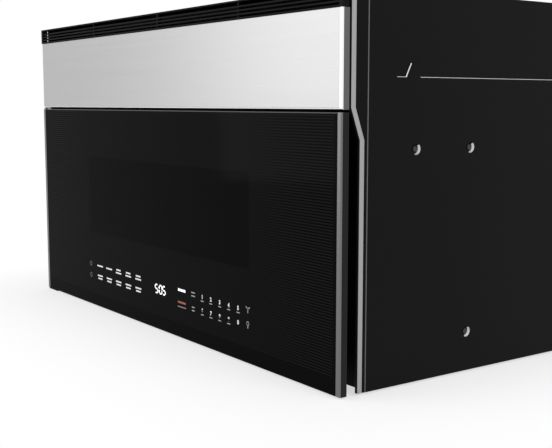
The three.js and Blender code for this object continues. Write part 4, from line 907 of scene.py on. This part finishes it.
@dataclass
class Door:
    """The door: glass, trims and the inner parts that show when it is open."""

    body: str = "door"
    glass_bevel: float = 1.2 * MM
    highlight_band: float = 1.5 * MM
    highlight_turn: Range = (-0.1, 0.2)
    edge_ease: float = 0.35 * MM
    edge_strip: float = 1 * MM
    front_gap: float = 0.15 * MM

    def build(self) -> None:
        """Builds and dresses every piece of the door."""
        self.glass()
        for side in Side:
            trim = refine(f"{side.word}_door_trim", self.body, SATIN_TRIM, 0.9 * MM, 4)
            # painted shade on the sides of the trim
            accent(trim, TRIM_SHADE, lambda middle, normal: (
                normal.y > -FACING and abs(normal.z) < ALONG))
        refine_all(self.body, ("door_backing", BLACK_PLASTIC, 0.4, 2),
                   ("choke_frame", BLACK_SHEET, 0.25, 1), ("choke_cover", BLACK_PLASTIC, 0.4, 2),
                   ("latch_cover", BLACK_PLASTIC, 0.5, 2), ("touch_board", GREEN_BOARD, 0.2, 2))
        refine_all("latch", ("door_latch", WHITE_PLASTIC, 0.4, 2))
        refine_all(self.body, ("inner_pane", CLEAR_GLASS, 0.3, 2),
                   ("inner_screen", PERFORATED, 0.1, 1))

    def glass(self) -> None:
        """The outer glass, set back a little so that the print lies on it."""
        low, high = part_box("door_glass")
        outward, upward = self.highlight_turn
        glass = block("door_glass_sheet", low + Vector((0, self.front_gap, 0)), high)
        bevel_where(glass, self.glass_bevel, 2, lambda middle, way: (
            abs(way.x) > ALONG and middle.y < low.y + self.edge_strip
            and middle.z > high.z - self.edge_strip))
        ease_edges(glass, self.edge_ease, 2)
        dress(glass, PRINTED_GLASS, self.body, "door_glass")
        # painted highlight on the glass's upper front bevel
        accent(glass, GLASS_EDGE_HIGHLIGHT, lambda middle, normal: (
            middle.z > high.z - self.highlight_band and normal.z > upward
            and normal.y < outward))


@dataclass
class TouchPanel:
    """Printed marks and the clock behind the lower part of the glass.

    Sizes are widths and heights, and a rise or a drop is measured from a row.
    """

    body: str = "door"
    row_heights: Range = (63.6 * MM, 46.4 * MM)
    thickness: float = 0.06 * MM
    depth: float = 0.05 * MM
    columns: int = 5
    label_pitch: float = 30.1 * MM
    first_label: float = -181.2 * MM
    label_drop: float = 0.4 * MM
    label_width: float = 17 * MM
    short_label: float = 0.8
    singles: int = 2
    single_width: float = 18.6 * MM
    bar_height: float = 2.1 * MM
    bar_gap: float = 4.3 * MM
    bar_corner: float = 0.22
    side_mark_x: float = 87 * MM
    side_mark_widths: Range = (9 * MM, 6.6 * MM)
    side_mark_drops: Range = (0.1 * MM, 1.6 * MM)
    side_mark_height: float = 1.4 * MM
    number_pitch: float = 20.2 * MM
    first_number: float = 109 * MM
    number_size: float = 6.8 * MM
    number_weight: float = 0.32 * MM
    number_bar_drop: float = 5.2 * MM
    number_bar: Range = (6.6 * MM, 1.2 * MM)
    clock_x: float = 0.5 * MM
    clock_z: float = 56.4 * MM
    clock_figures: tuple[tuple[str, float], ...] = (
        ("afgcd", -9.0 * MM), ("abcdef", 2.3 * MM), ("afgcd", 11.2 * MM))
    digit_width: float = 6.9 * MM
    digit_height: float = 10.9 * MM
    stroke: float = 1.9 * MM
    segment_gap: float = 0.3 * MM
    post_trim: float = 0.4
    colon_shift: float = 3.4 * MM
    colon_rise: float = 0.22
    colon_dot: float = 0.7
    icon_x: float = 210.4 * MM
    icon_size: float = 8.5 * MM
    icon_rise: float = 2.4 * MM
    blade: tuple[float, float, float] = (0.2, 0.5, 0.32)
    bulb: Range = (2.3 * MM, 0.55 * MM)
    stem: Range = (0.24, 0.34)
    stem_drop: float = 1.9 * MM
    left_icon_x: float = -212 * MM
    left_ring: Range = (3.0 * MM, 0.6 * MM)
    start_x: float = 58.5 * MM
    start_pitch: float = 3.7 * MM
    start_rise: float = 0.5 * MM
    start_bar: Range = (3.4 * MM, 3.3 * MM)
    stop_rise: float = 1.7 * MM
    stop_bar: Range = (20 * MM, 2.6 * MM)
    underline_drop: float = 4.2 * MM
    underline: Range = (21 * MM, 1.2 * MM)

    @property
    def face(self) -> float:
        """Y of the front of the print."""
        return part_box("door_glass")[0].y + self.depth

    def build(self) -> None:
        """Builds and dresses every mark."""
        self.labels()
        self.numbers()
        self.clock()
        self.icons()
        self.start_and_stop()

    def stamp(self, name: str, finish: Finish, marks: list[Piece]) -> None:
        """Joins marks into one dressed piece."""
        dress(join_pieces(name, marks), finish, self.body)

    def flat(self, x: float, z: float, width: float, height: float) -> Piece:
        """A flat printed bar, centred on a point of the glass.

        Args:
            x: Middle in X.
            z: Middle in Z.
            width: Its width.
            height: Its height.

        Returns:
            The bar.
        """
        bar = block("bar", Vector((x - width / 2, self.face, z - height / 2)),
                    Vector((x + width / 2, self.face + self.thickness, z + height / 2)))
        bevel_where(bar, min(width, height) * self.bar_corner, 2,
                    lambda middle, way: abs(way.y) > ALONG)
        return bar

    def labels(self) -> None:
        """Bars in place of the words over and under each other."""
        bars, marks = [], []
        gaps = (self.bar_gap / 2, -self.bar_gap / 2)
        for row, height in enumerate(self.row_heights):
            for column in range(self.columns):
                x = self.first_label + column * self.label_pitch
                single = row == 0 and column < self.singles
                for line, offset in enumerate((0.0,) if single else gaps):
                    width = self.single_width if single else self.label_width * (
                        1.0 if row != line else self.short_label)
                    bars.append(self.flat(x, height + offset - (1 - row) * self.label_drop,
                                          width, self.bar_height))
        self.stamp("touch_labels", WHITE_PRINT, bars)
        for height, width, drop in zip(self.row_heights, self.side_mark_widths,
                                       self.side_mark_drops):
            marks += [self.flat(self.side_mark_x, height + offset - drop, width,
                                self.side_mark_height) for offset in gaps]
        self.stamp("side_marks", GREY_PRINT, marks)

    def numbers(self) -> None:
        """The ten digits in two rows, with a short bar under all but the last."""
        digits, bars = [], []
        last = 2 * self.columns
        for count in range(1, last + 1):
            row, column = divmod(count - 1, self.columns)
            x = self.first_number + column * self.number_pitch
            z = self.row_heights[row]
            digits.append(self.digit(str(count % last), x, z))
            if count < last:
                bars.append(self.flat(x, z - self.number_bar_drop, *self.number_bar))
        self.stamp("touch_numbers", WHITE_PRINT, digits)
        self.stamp("number_bars", GREY_PRINT, bars)

    def digit(self, text: str, x: float, z: float) -> Piece:
        """A digit as a thin mesh.

        Args:
            text: The digit.
            x: Middle in X.
            z: Middle in Z.

        Returns:
            The digit.
        """
        deselect_all()
        bpy.ops.object.text_add(location=(x, self.face + self.thickness / 2, z),
                                rotation=(math.pi / 2, 0, 0))
        data = bpy.context.active_object.data
        data.body = text
        data.align_x = data.align_y = "CENTER"
        data.size = self.number_size
        data.extrude = self.thickness / 2
        data.offset = self.number_weight
        bpy.ops.object.convert(target="MESH")
        return settle("digit")

    def clock(self) -> None:
        """Three lit figures and a colon, each figure of straight segments."""
        parts = [self.segment(name, self.clock_x + shift)
                 for segments, shift in self.clock_figures for name in segments]
        dot = self.stroke * self.colon_dot
        x = self.clock_x - self.colon_shift
        parts += [self.flat(x, self.clock_z + rise * self.digit_height, dot, dot)
                  for rise in (-self.colon_rise, self.colon_rise)]
        self.stamp("clock_figures", CLOCK_LIGHT, parts)

    def segment(self, name: str, x: float) -> Piece:
        """One segment of a clock figure.

        Args:
            name: Its letter, from a at the top to g in the middle.
            x: Middle of the figure.

        Returns:
            The segment.
        """
        half_w, half_h = self.digit_width / 2, self.digit_height / 2
        level = {"a": half_h, "g": 0.0, "d": -half_h}
        if name in level:
            return self.flat(x, self.clock_z + level[name],
                             self.digit_width - self.stroke - self.segment_gap, self.stroke)
        side = -1 if name in "fe" else 1
        rise = 1 if name in "fb" else -1
        return self.flat(x + side * half_w, self.clock_z + rise * half_h / 2, self.stroke,
                         half_h - self.stroke * self.post_trim - self.segment_gap)

    def icons(self) -> None:
        """A fan and a bulb at the right, and two dim rings at the left."""
        upper, lower = self.row_heights
        width, length, reach = (share * self.icon_size for share in self.blade)
        hub = Matrix.Translation((self.icon_x, self.face, upper + self.icon_rise))
        icons = []
        for turn in (0, 120, 240):
            blade = self.flat(0, 0, width, length)
            blade.data.transform(Matrix.Translation((0, -self.face, -reach)))
            blade.data.transform(Matrix.Rotation(math.radians(turn), 4, "Y"))
            blade.data.transform(hub)
            icons.append(blade)
        icons.append(self.ring(self.icon_x, lower + self.icon_rise, *self.bulb))
        icons.append(self.flat(self.icon_x, lower - self.stem_drop,
                               *(share * self.icon_size for share in self.stem)))
        self.stamp("fan_and_lamp_icons", ICON_PRINT, icons)
        self.stamp("left_icons", DIM_PRINT, [
            self.ring(self.left_icon_x, height, *self.left_ring) for height in self.row_heights])

    def ring(self, x: float, z: float, radius: float, line: float) -> Piece:
        """A thin printed ring.

        Args:
            x: Middle in X.
            z: Middle in Z.
            radius: Radius of the middle of its line.
            line: Half the width of its line.

        Returns:
            The ring.
        """
        deselect_all()
        bpy.ops.mesh.primitive_torus_add(
            location=(x, 0, z), rotation=(math.pi / 2, 0, 0), major_radius=radius,
            minor_radius=line, major_segments=28, minor_segments=6)
        ring = settle("ring")
        ring.data.transform(Matrix.Diagonal((1, self.thickness / (2 * line), 1, 1)))
        ring.data.transform(Matrix.Translation((0, self.face + self.thickness / 2, 0)))
        return ring

    def start_and_stop(self) -> None:
        """The bright start mark, and the red stop mark with its underline."""
        upper, lower = self.row_heights
        # the start mark's glow is painted light
        self.stamp("start_mark", CLOCK_LIGHT, [
            self.flat(self.start_x + step * self.start_pitch, upper + self.start_rise,
                      *self.start_bar) for step in (-2, -1, 0, 1, 2)])
        self.stamp("stop_mark", RED_PRINT, [
            self.flat(self.start_x, lower + self.stop_rise, *self.stop_bar)])
        self.stamp("stop_underline", ICON_PRINT, [
            self.flat(self.start_x, lower - self.underline_drop, *self.underline)])


# ---------------- case


@dataclass
class Case:
    """The outer case with its side panels, trims, fascia and vent.

    A turn is the cosine that a face's normal has to pass.
    """

    body: str = "case"
    screw_radius: float = 2.9 * MM
    screw_height: float = 1.3 * MM
    shoulder_drop: float = 88.1 * MM
    shoulder_start: float = 5 * MM
    shoulder_reach: float = 1.1 * MM
    shoulder_turn: float = 0.25
    tab_rise: float = 0.6 * MM
    edge_reach: float = 1.2 * MM
    edge_turn: float = 0.15
    dimple_inset: float = 2.6 * MM
    dimple_radius: float = 6.6 * MM
    dimple_depths: Range = (0.1 * MM, 2.5 * MM)
    dimple_turns: Range = (0.2, 0.9)
    dimple_lit: float = 2.4 * MM
    dimple_slant: float = 0.6
    dimples: tuple[Range, ...] = (
        (-18.2 * MM, 254.3 * MM), (-99.4 * MM, 254.3 * MM), (-18.2 * MM, 47.7 * MM))
    sheet_bend: float = 1.0 * MM
    hem_bend: float = 2.4 * MM
    hem_width: float = 3.9 * MM
    hem_reach: float = 2.6 * MM
    hem_turn: float = 0.4
    side_turn: float = 0.3
    lower_bend: Range = (-0.97, -0.2)

    def build(self) -> None:
        """Builds and dresses every piece of the case."""
        for side in Side:
            self.side_panel(side)
            strip = refine(f"{side.word}_edge_strip", self.body, SATIN_STRIP, 0.9 * MM, 4,
                           ROUND_ANGLE)
            # painted shade on the strip's faces that look forward
            accent(strip, TRIM_SHADE, lambda middle, normal: normal.y < -FACING)
            refine(f"{side.word}_side_trim", self.body, BLACK_PLASTIC, 0.4 * MM, 2,
                   ROUND_ANGLE)
            self.screws(side)
        refine_all(self.body, ("base_pan", BLACK_SHEET, 0.3, 2),
                   ("front_frame", BLACK_SHEET, 0.3, 2))
        self.fascia()
        refine_all(self.body, ("vent_carrier", BLACK_PLASTIC, 0.4, 2),
                   ("vent_grille", BLACK_PLASTIC, 0.35, 2), ("cord_grommet", BLACK_RUBBER, 0.6, 3),
                   ("hood_floor", ZINC_SHEET, 0.3, 1), ("bay_floor", ZINC_SHEET, 0.3, 1),
                   ("lower_hinge_bracket", BLACK_SHEET, 0.25, 2),
                   ("upper_hinge_bracket", BLACK_SHEET, 0.25, 2))

    def side_panel(self, side: Side) -> None:
        """A side panel with painted highlights on its front edge, shoulder and tab, and on the lit
        side of the walls in its screw dimples.

        Args:
            side: The side of the case.
        """
        node = f"{side.word}_side_panel"
        low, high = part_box(node)
        wall = high.x if side is Side.RIGHT else -low.x
        level = high.z - self.shoulder_drop
        behind = low.y + self.shoulder_start
        shallow, deep = self.dimple_depths
        flat, steep = self.dimple_turns

        def out(turn: Vector) -> float:
            """How much a direction points out of this side."""
            return turn.x * side.value

        panel = refine(node, self.body, BLACK_SHEET, 0.3 * MM, 2, ROUND_ANGLE, self.sheet_bend,
                       lambda middle, way: (
                           wall - out(middle) < NEAR and abs(way.x) < ACROSS
                           and (middle.y < low.y + NEAR or middle.z > level - NEAR)))
        # painted highlight on the rounded front edge
        accent(panel, SHEET_EDGE_HIGHLIGHT, lambda middle, normal: (
            normal.y < -self.edge_turn and out(normal) > self.edge_turn
            and middle.y < low.y + self.edge_reach))
        # painted highlight on the shoulder faces that look up and out
        accent(panel, SHOULDER_HIGHLIGHT, lambda middle, normal: (
            normal.z > self.shoulder_turn and out(normal) > self.edge_turn
            and abs(middle.z - level) < self.shoulder_reach and middle.y > behind))
        # painted highlight on the tab's faces that look forward
        accent(panel, TAB_HIGHLIGHT, lambda middle, normal: (
            normal.y < -self.shoulder_turn and middle.z > level + self.tab_rise
            and middle.y > behind))
        # painted highlight on the lit side of each dimple's wall
        accent(panel, DIMPLE_HIGHLIGHT, lambda middle, normal: (
            shallow < wall - out(middle) < deep and flat < out(normal) < steep
            and any(math.hypot(middle.y - y, middle.z - z) < self.dimple_radius
                    and middle.y - y - self.dimple_slant * (middle.z - z) > self.dimple_lit
                    for y, z in self.dimples)))

    def fascia(self) -> None:
        """The stainless fascia, with painted highlights on the hems round its face and painted
        shade on the returns at its sides.
        """
        low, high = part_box("fascia")
        hem = high.x - self.hem_width
        flat, steep = self.lower_bend
        fascia = refine("fascia", self.body, STAINLESS, 0.3 * MM, 2, SOFT_ANGLE, self.hem_bend,
                        lambda middle, way: (
                            middle.y < low.y + NEAR and abs(way.y) < ACROSS
                            and (abs(way.z) > ALONG or middle.z < low.z + NEAR)))
        with editing(fascia, "FACE"):
            for side in Side:
                bpy.ops.mesh.select_all(action="SELECT")
                bpy.ops.mesh.bisect(plane_co=(side.value * hem, 0, 0), plane_no=(1, 0, 0))
        smooth(fascia)
        # painted shade on the side returns
        accent(fascia, SIDE_SHADE, lambda middle, normal: (
            abs(normal.x) > self.side_turn and normal.y > -self.hem_turn))
        # painted highlight on the hems at the ends and along the lower bend
        accent(fascia, HEM_HIGHLIGHT, lambda middle, normal: (
            middle.y < low.y + self.hem_reach and (
                (abs(middle.x) > hem and normal.y < -self.hem_turn)
                or (flat < normal.y < steep and normal.z < steep))))

    def screws(self, side: Side) -> None:
        """A pan head with a sunk drive at the bottom of each dimple of one side.

        Args:
            side: The side of the case.
        """
        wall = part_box(f"{side.word}_side_panel")[1 if side is Side.RIGHT else 0].x
        floor = wall - side.value * self.dimple_inset
        heads = [screw_head(Vector((floor + side.value * self.screw_height / 2, y, z)), Axis.X,
                            side.value, self.screw_radius, self.screw_height)
                 for y, z in self.dimples]
        dress(join_pieces(f"{side.word}_side_screws", heads), DARK_SCREW, self.body)


@dataclass
class PressedSheet:
    """A large plain sheet of the case, stiffened by pressed panels and held by sunk screws.

    Places are in mm in the sheet's own plane: X first, then Z on the back or Y on
    the top. A panel is its lowest place and its highest one.
    """

    node: str
    outward: Axis
    finish: Finish
    panels: tuple[tuple[float, float, float, float], ...]
    screws: tuple[Range, ...]
    body: str = "case"
    sheet: float = 1.2 * MM
    overlap: float = 0.6
    depth: float = 2.2 * MM
    corner: float = 12 * MM
    seat_radius: float = 4.1 * MM
    seat_depth: float = 0.8 * MM
    head_radius: float = 3.5 * MM
    head_height: float = 0.65 * MM

    @property
    def level(self) -> float:
        """Where the sheet's outer face lies."""
        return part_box(self.node)[1][self.outward.value]

    def spot(self, across: float, along: float, level: float) -> Vector:
        """A point over the sheet.

        Args:
            across: Its place in X.
            along: Its other place in the sheet's plane.
            level: Its place along the outward axis.

        Returns:
            The point.
        """
        if self.outward is Axis.Y:
            return Vector((across, level, along))
        return Vector((across, along, level))

    def build(self) -> None:
        """Builds and dresses the sheet and its screws."""
        refine(self.node, self.body, self.finish, 0.4 * MM, shape=self.press)
        heads = [screw_head(self.spot(x * MM, y * MM, self.level - self.seat_depth / 2),
                            self.outward, 1, self.head_radius, self.head_height)
                 for x, y in self.screws]
        dress(join_pieces(f"{self.node}_screws", heads), DARK_SCREW, self.body)

    def press(self, piece: Piece) -> None:
        """Presses the panels inwards and cuts the seats of the screws.

        Args:
            piece: The merged copy of the sheet.
        """
        combine(piece, [self.dish(panel, self.level - self.sheet / 2, self.depth + self.sheet,
                                  self.sheet * self.overlap) for panel in self.panels], "UNION")
        cuts = [self.dish(panel, self.level + self.depth, self.depth, 0.0)
                for panel in self.panels]
        cuts += [round_bar("seat", self.spot(x * MM, y * MM, self.level), self.seat_radius,
                           2 * self.seat_depth, self.outward) for x, y in self.screws]
        combine(piece, cuts, "DIFFERENCE")

    def dish(self, panel: tuple[float, float, float, float], top: float, depth: float,
             grow: float) -> Piece:
        """A flat block with round corners and a sloped rim at its inner face.

        Args:
            panel: Lowest and highest place in the sheet's plane, in mm.
            top: Where its outer face lies.
            depth: How far its inner face lies below the sheet's outer face.
            grow: How much larger than the panel it is on each side.

        Returns:
            The block.
        """
        way = self.outward.value
        bottom = self.level - depth
        left, lowest, right, highest = (place * MM for place in panel)
        dish = block("dish", self.spot(left - grow, lowest - grow, bottom),
                     self.spot(right + grow, highest + grow, top))
        bevel_where(dish, self.corner, 6, lambda middle, along: abs(along[way]) > ALONG)
        bevel_where(dish, self.depth, 1, lambda middle, along: (
            middle[way] < bottom + NEAR and abs(along[way]) < ACROSS))
        return dish


@dataclass
class Underside:
    """Filters and the cooktop lamp in the base of the case."""

    frame_width: float = 8 * MM
    frame_round: float = 0.8 * MM
    mesh_overlap: float = 1 * MM
    mesh_cells: tuple[int, int] = (56, 28)
    mesh_heights: Range = (0.3, 0.7)
    wire: float = 0.9 * MM

    def build(self) -> None:
        """Builds and dresses the underside."""
        for side in Side:
            self.filter(side)
        refine_all("lamp_cover", ("lamp_cover", LAMP_LENS, 0.5, 3))
        refine_all("case", ("cooktop_lamp", WHITE_PLASTIC, 0.4, 2))

    def filter(self, side: Side) -> None:
        """A rolled frame round two layers of aluminium mesh.

        Args:
            side: The side of the case.
        """
        node, body = f"{side.word}_grease_filter", f"{side.word}_filter"
        low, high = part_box(node)
        border = block(f"{node}_frame", low, high)
        with editing(border, "FACE", lambda middle, normal: abs(normal.z) > ALONG):
            bpy.ops.mesh.inset(thickness=self.frame_width)
            bpy.ops.mesh.bridge_edge_loops()
        ease_edges(border, self.frame_round, 3)
        dress(border, ALUMINIUM, body, node)
        layers = []
        inset = 2 * (self.frame_width - self.mesh_overlap)
        for share in self.mesh_heights:
            deselect_all()
            bpy.ops.mesh.primitive_grid_add(
                x_subdivisions=self.mesh_cells[0], y_subdivisions=self.mesh_cells[1], size=1.0,
                location=((low.x + high.x) / 2, (low.y + high.y) / 2,
                          low.z + share * (high.z - low.z)))
            bpy.context.active_object.scale = (high.x - low.x - inset, high.y - low.y - inset, 1)
            layer = settle("layer")
            with editing(layer, "FACE"):
                bpy.ops.mesh.poke()
                bpy.ops.mesh.tris_convert_to_quads(face_threshold=math.pi, shape_threshold=math.pi)
            apply_modifier(layer, "WIREFRAME", thickness=self.wire, use_replace=True)
            layers.append(layer)
        dress(join_pieces(f"{node}_mesh", layers), ALUMINIUM, body)


# ---------------- inside


@dataclass
class Cavity:
    """The cooking cavity, its turntable and its fittings.

    The tray's section goes out along its underside, round its rim and back in
    along its bowl. The pairs are mm in from the rim and mm above the underside
    or, in the rim's part, mm below the top.
    """

    tray_steps: int = 96
    tray_weld: float = 0.01 * MM
    tray_outer: tuple[Range, ...] = ((22, 0), (14, 0.6), (7, 3.4))
    tray_rim: tuple[Range, ...] = (
        (1.5, 3.5), (0, 1.6), (0.4, 0.4), (1.6, 0), (3.2, 0.8))
    tray_inner: tuple[Range, ...] = ((7, 8.2), (14, 5.6), (24, 5))

    def build(self) -> None:
        """Builds and dresses the cavity."""
        refine_all("case", ("cavity_box", GREY_ENAMEL, 0.45, 2),
                   ("waveguide_cover", MICA_SHEET, 0.15, 1), ("cavity_lamp", WHITE_PLASTIC, 0.3, 2),
                   ("turntable_motor", ZINC_SHEET, 0.4, 2))
        refine_all("turntable", ("turntable_coupler", WHITE_PLASTIC, 0.5, 3))
        for node, width in (("roller_ring", 0.8), ("roller_1", 0.4), ("roller_2", 0.4),
                            ("roller_3", 0.4)):
            refine_all(node, (node, WHITE_PLASTIC, width, 3))
        self.tray()

    def section(self, radius: float, base: float, top: float) -> list[Range]:
        """The tray's section from its axis round its rim and back.

        Args:
            radius: The tray's radius.
            base: Its lowest height.
            top: Its highest height.

        Returns:
            Radius and height of each point.
        """
        outer, inner = ([(radius - x * MM, base + z * MM) for x, z in part]
                        for part in (self.tray_outer, self.tray_inner))
        rim = [(radius - x * MM, top - z * MM) for x, z in self.tray_rim]
        return [(0.0, outer[0][1]), *outer, *rim, *inner, (0.0, inner[-1][1])]

    def tray(self) -> None:
        """The glass tray, spun from its section."""
        low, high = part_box("glass_tray")
        middle = (low + high) / 2
        deselect_all()
        bpy.ops.mesh.primitive_plane_add(size=1.0, location=(0, 0, 0))
        tray = settle("glass_tray_spun")
        with editing(tray, "VERT") as mesh:
            bmesh.ops.delete(mesh, geom=mesh.verts[:], context="VERTS")
            points = [mesh.verts.new((middle.x + r, middle.y, z))
                      for r, z in self.section((high.x - low.x) / 2, low.z, high.z)]
            for pair in zip(points, points[1:]):
                mesh.edges.new(pair)
            for point in points:
                point.select_set(True)
            bmesh.update_edit_mesh(tray.data)
            bpy.ops.mesh.select_all(action="SELECT")
            bpy.ops.mesh.spin(steps=self.tray_steps, angle=2 * math.pi,
                              center=(middle.x, middle.y, 0), axis=(0, 0, 1))
            bpy.ops.mesh.select_all(action="SELECT")
            bpy.ops.mesh.remove_doubles(threshold=self.tray_weld)
            bpy.ops.mesh.normals_make_consistent(inside=False)
        smooth(tray, ROUND_ANGLE)
        dress(tray, CLEAR_GLASS, "turntable", "glass_tray")


@dataclass
class Machinery:
    """Power parts, fan, blower and latch board inside the case."""

    ease: float = 0.3

    def build(self) -> None:
        """Dresses the machinery."""
        for node, finish in (("main_board", GREEN_BOARD), ("latch_board", WHITE_PLASTIC),
                             ("charcoal_filter", CARBON_BED), ("blower_shaft", ZINC_SHEET)):
            paint(node, finish)
        for body, node, finish in (
                ("case", "magnetron", ZINC_SHEET), ("case", "transformer", COPPER_WINDING),
                ("case", "capacitor", ALUMINIUM), ("case", "cooling_fan_frame", BLACK_PLASTIC),
                ("cooling_fan", "cooling_fan_blade", GREY_PLASTIC),
                ("case", "blower_motor", ZINC_SHEET),
                ("blower_rotor", "left_blower_wheel", BLACK_PLASTIC),
                ("blower_rotor", "right_blower_wheel", BLACK_PLASTIC),
                ("case", "left_scroll_housing", ZINC_SHEET),
                ("case", "right_scroll_housing", ZINC_SHEET),
                ("primary_plunger", "primary_plunger", BLACK_RUBBER),
                ("monitor_plunger", "monitor_plunger", BLACK_RUBBER),
                ("secondary_plunger", "secondary_plunger", BLACK_RUBBER)):
            refine_all(body, (node, finish, self.ease, 2))


# ---------------- studio

WHITE = (1, 1, 1, 1)


@dataclass
class Studio:
    """Camera, lamps, world and floor."""

    camera_place: tuple[float, float, float] = (1136.3 * MM, -819.8 * MM, 301.8 * MM)
    azimuth: float = 54.52
    elevation: float = 7.0
    lens: float = 64.03
    sensor: float = 36.0
    farthest: float = 100.0
    ambient: float = 0.75
    lamp_aim: tuple[float, float, float] = (0, 0, 0.2)
    boxes: tuple[tuple[str, tuple[float, float, float], float, float], ...] = (
        ("front_box", (-1.4, -2.6, 1.9), 34.0, 1.8), ("side_box", (2.6, 0.2, 2.0), 30.0, 1.6),
        ("low_box", (-1.55, -1.78, 0.47), 3.6, 0.9))
    floor_size: float = 14.0
    floor_drop: float = 0.02 * MM
    footprint: Range = (380 * MM, 200 * MM)
    fade: Range = (0.0, 0.22)
    nearest: float = 0.62

    def build(self) -> None:
        """Sets up the studio."""
        self.camera()
        self.world()
        self.lamps()
        self.floor()

    def camera(self) -> None:
        """Places the camera at the photograph's angle."""
        data = bpy.data.cameras.new("camera")
        data.lens = self.lens
        data.sensor_width = self.sensor
        data.clip_end = self.farthest
        camera = bpy.data.objects.new("camera", data)
        bpy.context.scene.collection.objects.link(camera)
        camera.location = self.camera_place
        camera.rotation_euler = (math.radians(90 - self.elevation), 0, math.radians(self.azimuth))
        bpy.context.scene.camera = camera

    def world(self) -> None:
        """White where the camera, gloss or glass looks at it, softer as a light."""
        world = bpy.data.worlds.new("studio")
        world.use_nodes = True
        bpy.context.scene.world = world
        book = NodeBook(world.node_tree)
        book.feed(world.node_tree.nodes["Background"], Color=WHITE,
                  Strength=book.span(book.seen(), 0.0, 1.0, self.ambient))

    def lamps(self) -> None:
        """Three soft boxes: in front, over the right side, and a weak low one at the left."""
        for name, place, power, size in self.boxes:
            data = bpy.data.lights.new(name, "AREA")
            data.energy = power
            data.size = size
            lamp = bpy.data.objects.new(name, data)
            bpy.context.scene.collection.objects.link(lamp)
            lamp.location = place
            aim = Vector(self.lamp_aim) - Vector(place)
            lamp.rotation_euler = aim.to_track_quat("-Z", "Y").to_euler()

    def floor(self) -> None:
        """A pale floor that keeps the shadow near the object and fades to white further out."""
        deselect_all()
        bpy.ops.mesh.primitive_plane_add(size=self.floor_size, location=(0, 0, -self.floor_drop))
        floor = settle("floor")
        material = bpy.data.materials.new("pale_floor")
        material.use_nodes = True
        book = NodeBook(material.node_tree)
        pale = book.coat(Base_Color=tone(0.88), Roughness=0.9, Specular_IOR_Level=0.1).outputs[0]
        point = book.split()
        squares = []
        for socket, half in zip(("X", "Y"), self.footprint):
            beyond = book.math("SUBTRACT", book.math("ABSOLUTE", point[socket]), half)
            squares.append(book.math("POWER", book.math("MAXIMUM", beyond, 0.0), 2.0))
        reach = book.math("SQRT", book.math("ADD", *squares))
        far = book.math("MULTIPLY", book.span(reach, *self.fade, self.nearest), book.seen())
        white = book.feed(book.add("Emission"), Color=WHITE, Strength=1.0).outputs[0]
        above = book.either(far, pale, white)
        below = book.add("BsdfTransparent").outputs[0]
        back = book.add("NewGeometry").outputs["Backfacing"]
        book.feed(book.tree.nodes["Material Output"], Surface=book.either(back, above, below))
        floor.data.materials.append(material)


def back_sheet() -> PressedSheet:
    """The back panel: two large panels, one over the hood and screws round its edge.

    Returns:
        The sheet.
    """
    edges = [(x, z) for z in (11, 407) for x in (-368, -190, 0, 190, 368)]
    posts = [(x, z) for x in (-366, 366) for z in (110, 200, 320)]
    panels = ((-350, 60, -15, 270), (15, 60, 350, 270), (-350, 312, 350, 394))
    return PressedSheet("back_panel", Axis.Y, ZINC_SHEET, panels, tuple(edges + posts))


def top_sheet() -> PressedSheet:
    """The top cover: the blank of its exhaust, a long rib and a row of screws at each side.

    Returns:
        The sheet.
    """
    screws = tuple((x, y) for x in (-365, 365) for y in (-148, -40, 70, 185))
    panels = ((-135, 50, 135, 150), (-310, -95, 310, -60))
    return PressedSheet("top_cover", Axis.Z, BLACK_SHEET, panels, screws)


def main() -> None:
    """Builds the studio and every sub-assembly in order."""
    logging.basicConfig(level=logging.INFO, format="%(message)s")
    bpy.context.scene.view_settings.view_transform = "Standard"
    for part in (Studio(), Door(), TouchPanel(), Case(), back_sheet(), top_sheet(), Underside(),
                 Cavity(), Machinery()):
        part.build()
        LOG.info("%s done", type(part).__name__)
    deselect_all()


if __name__ == "__main__":
    main()
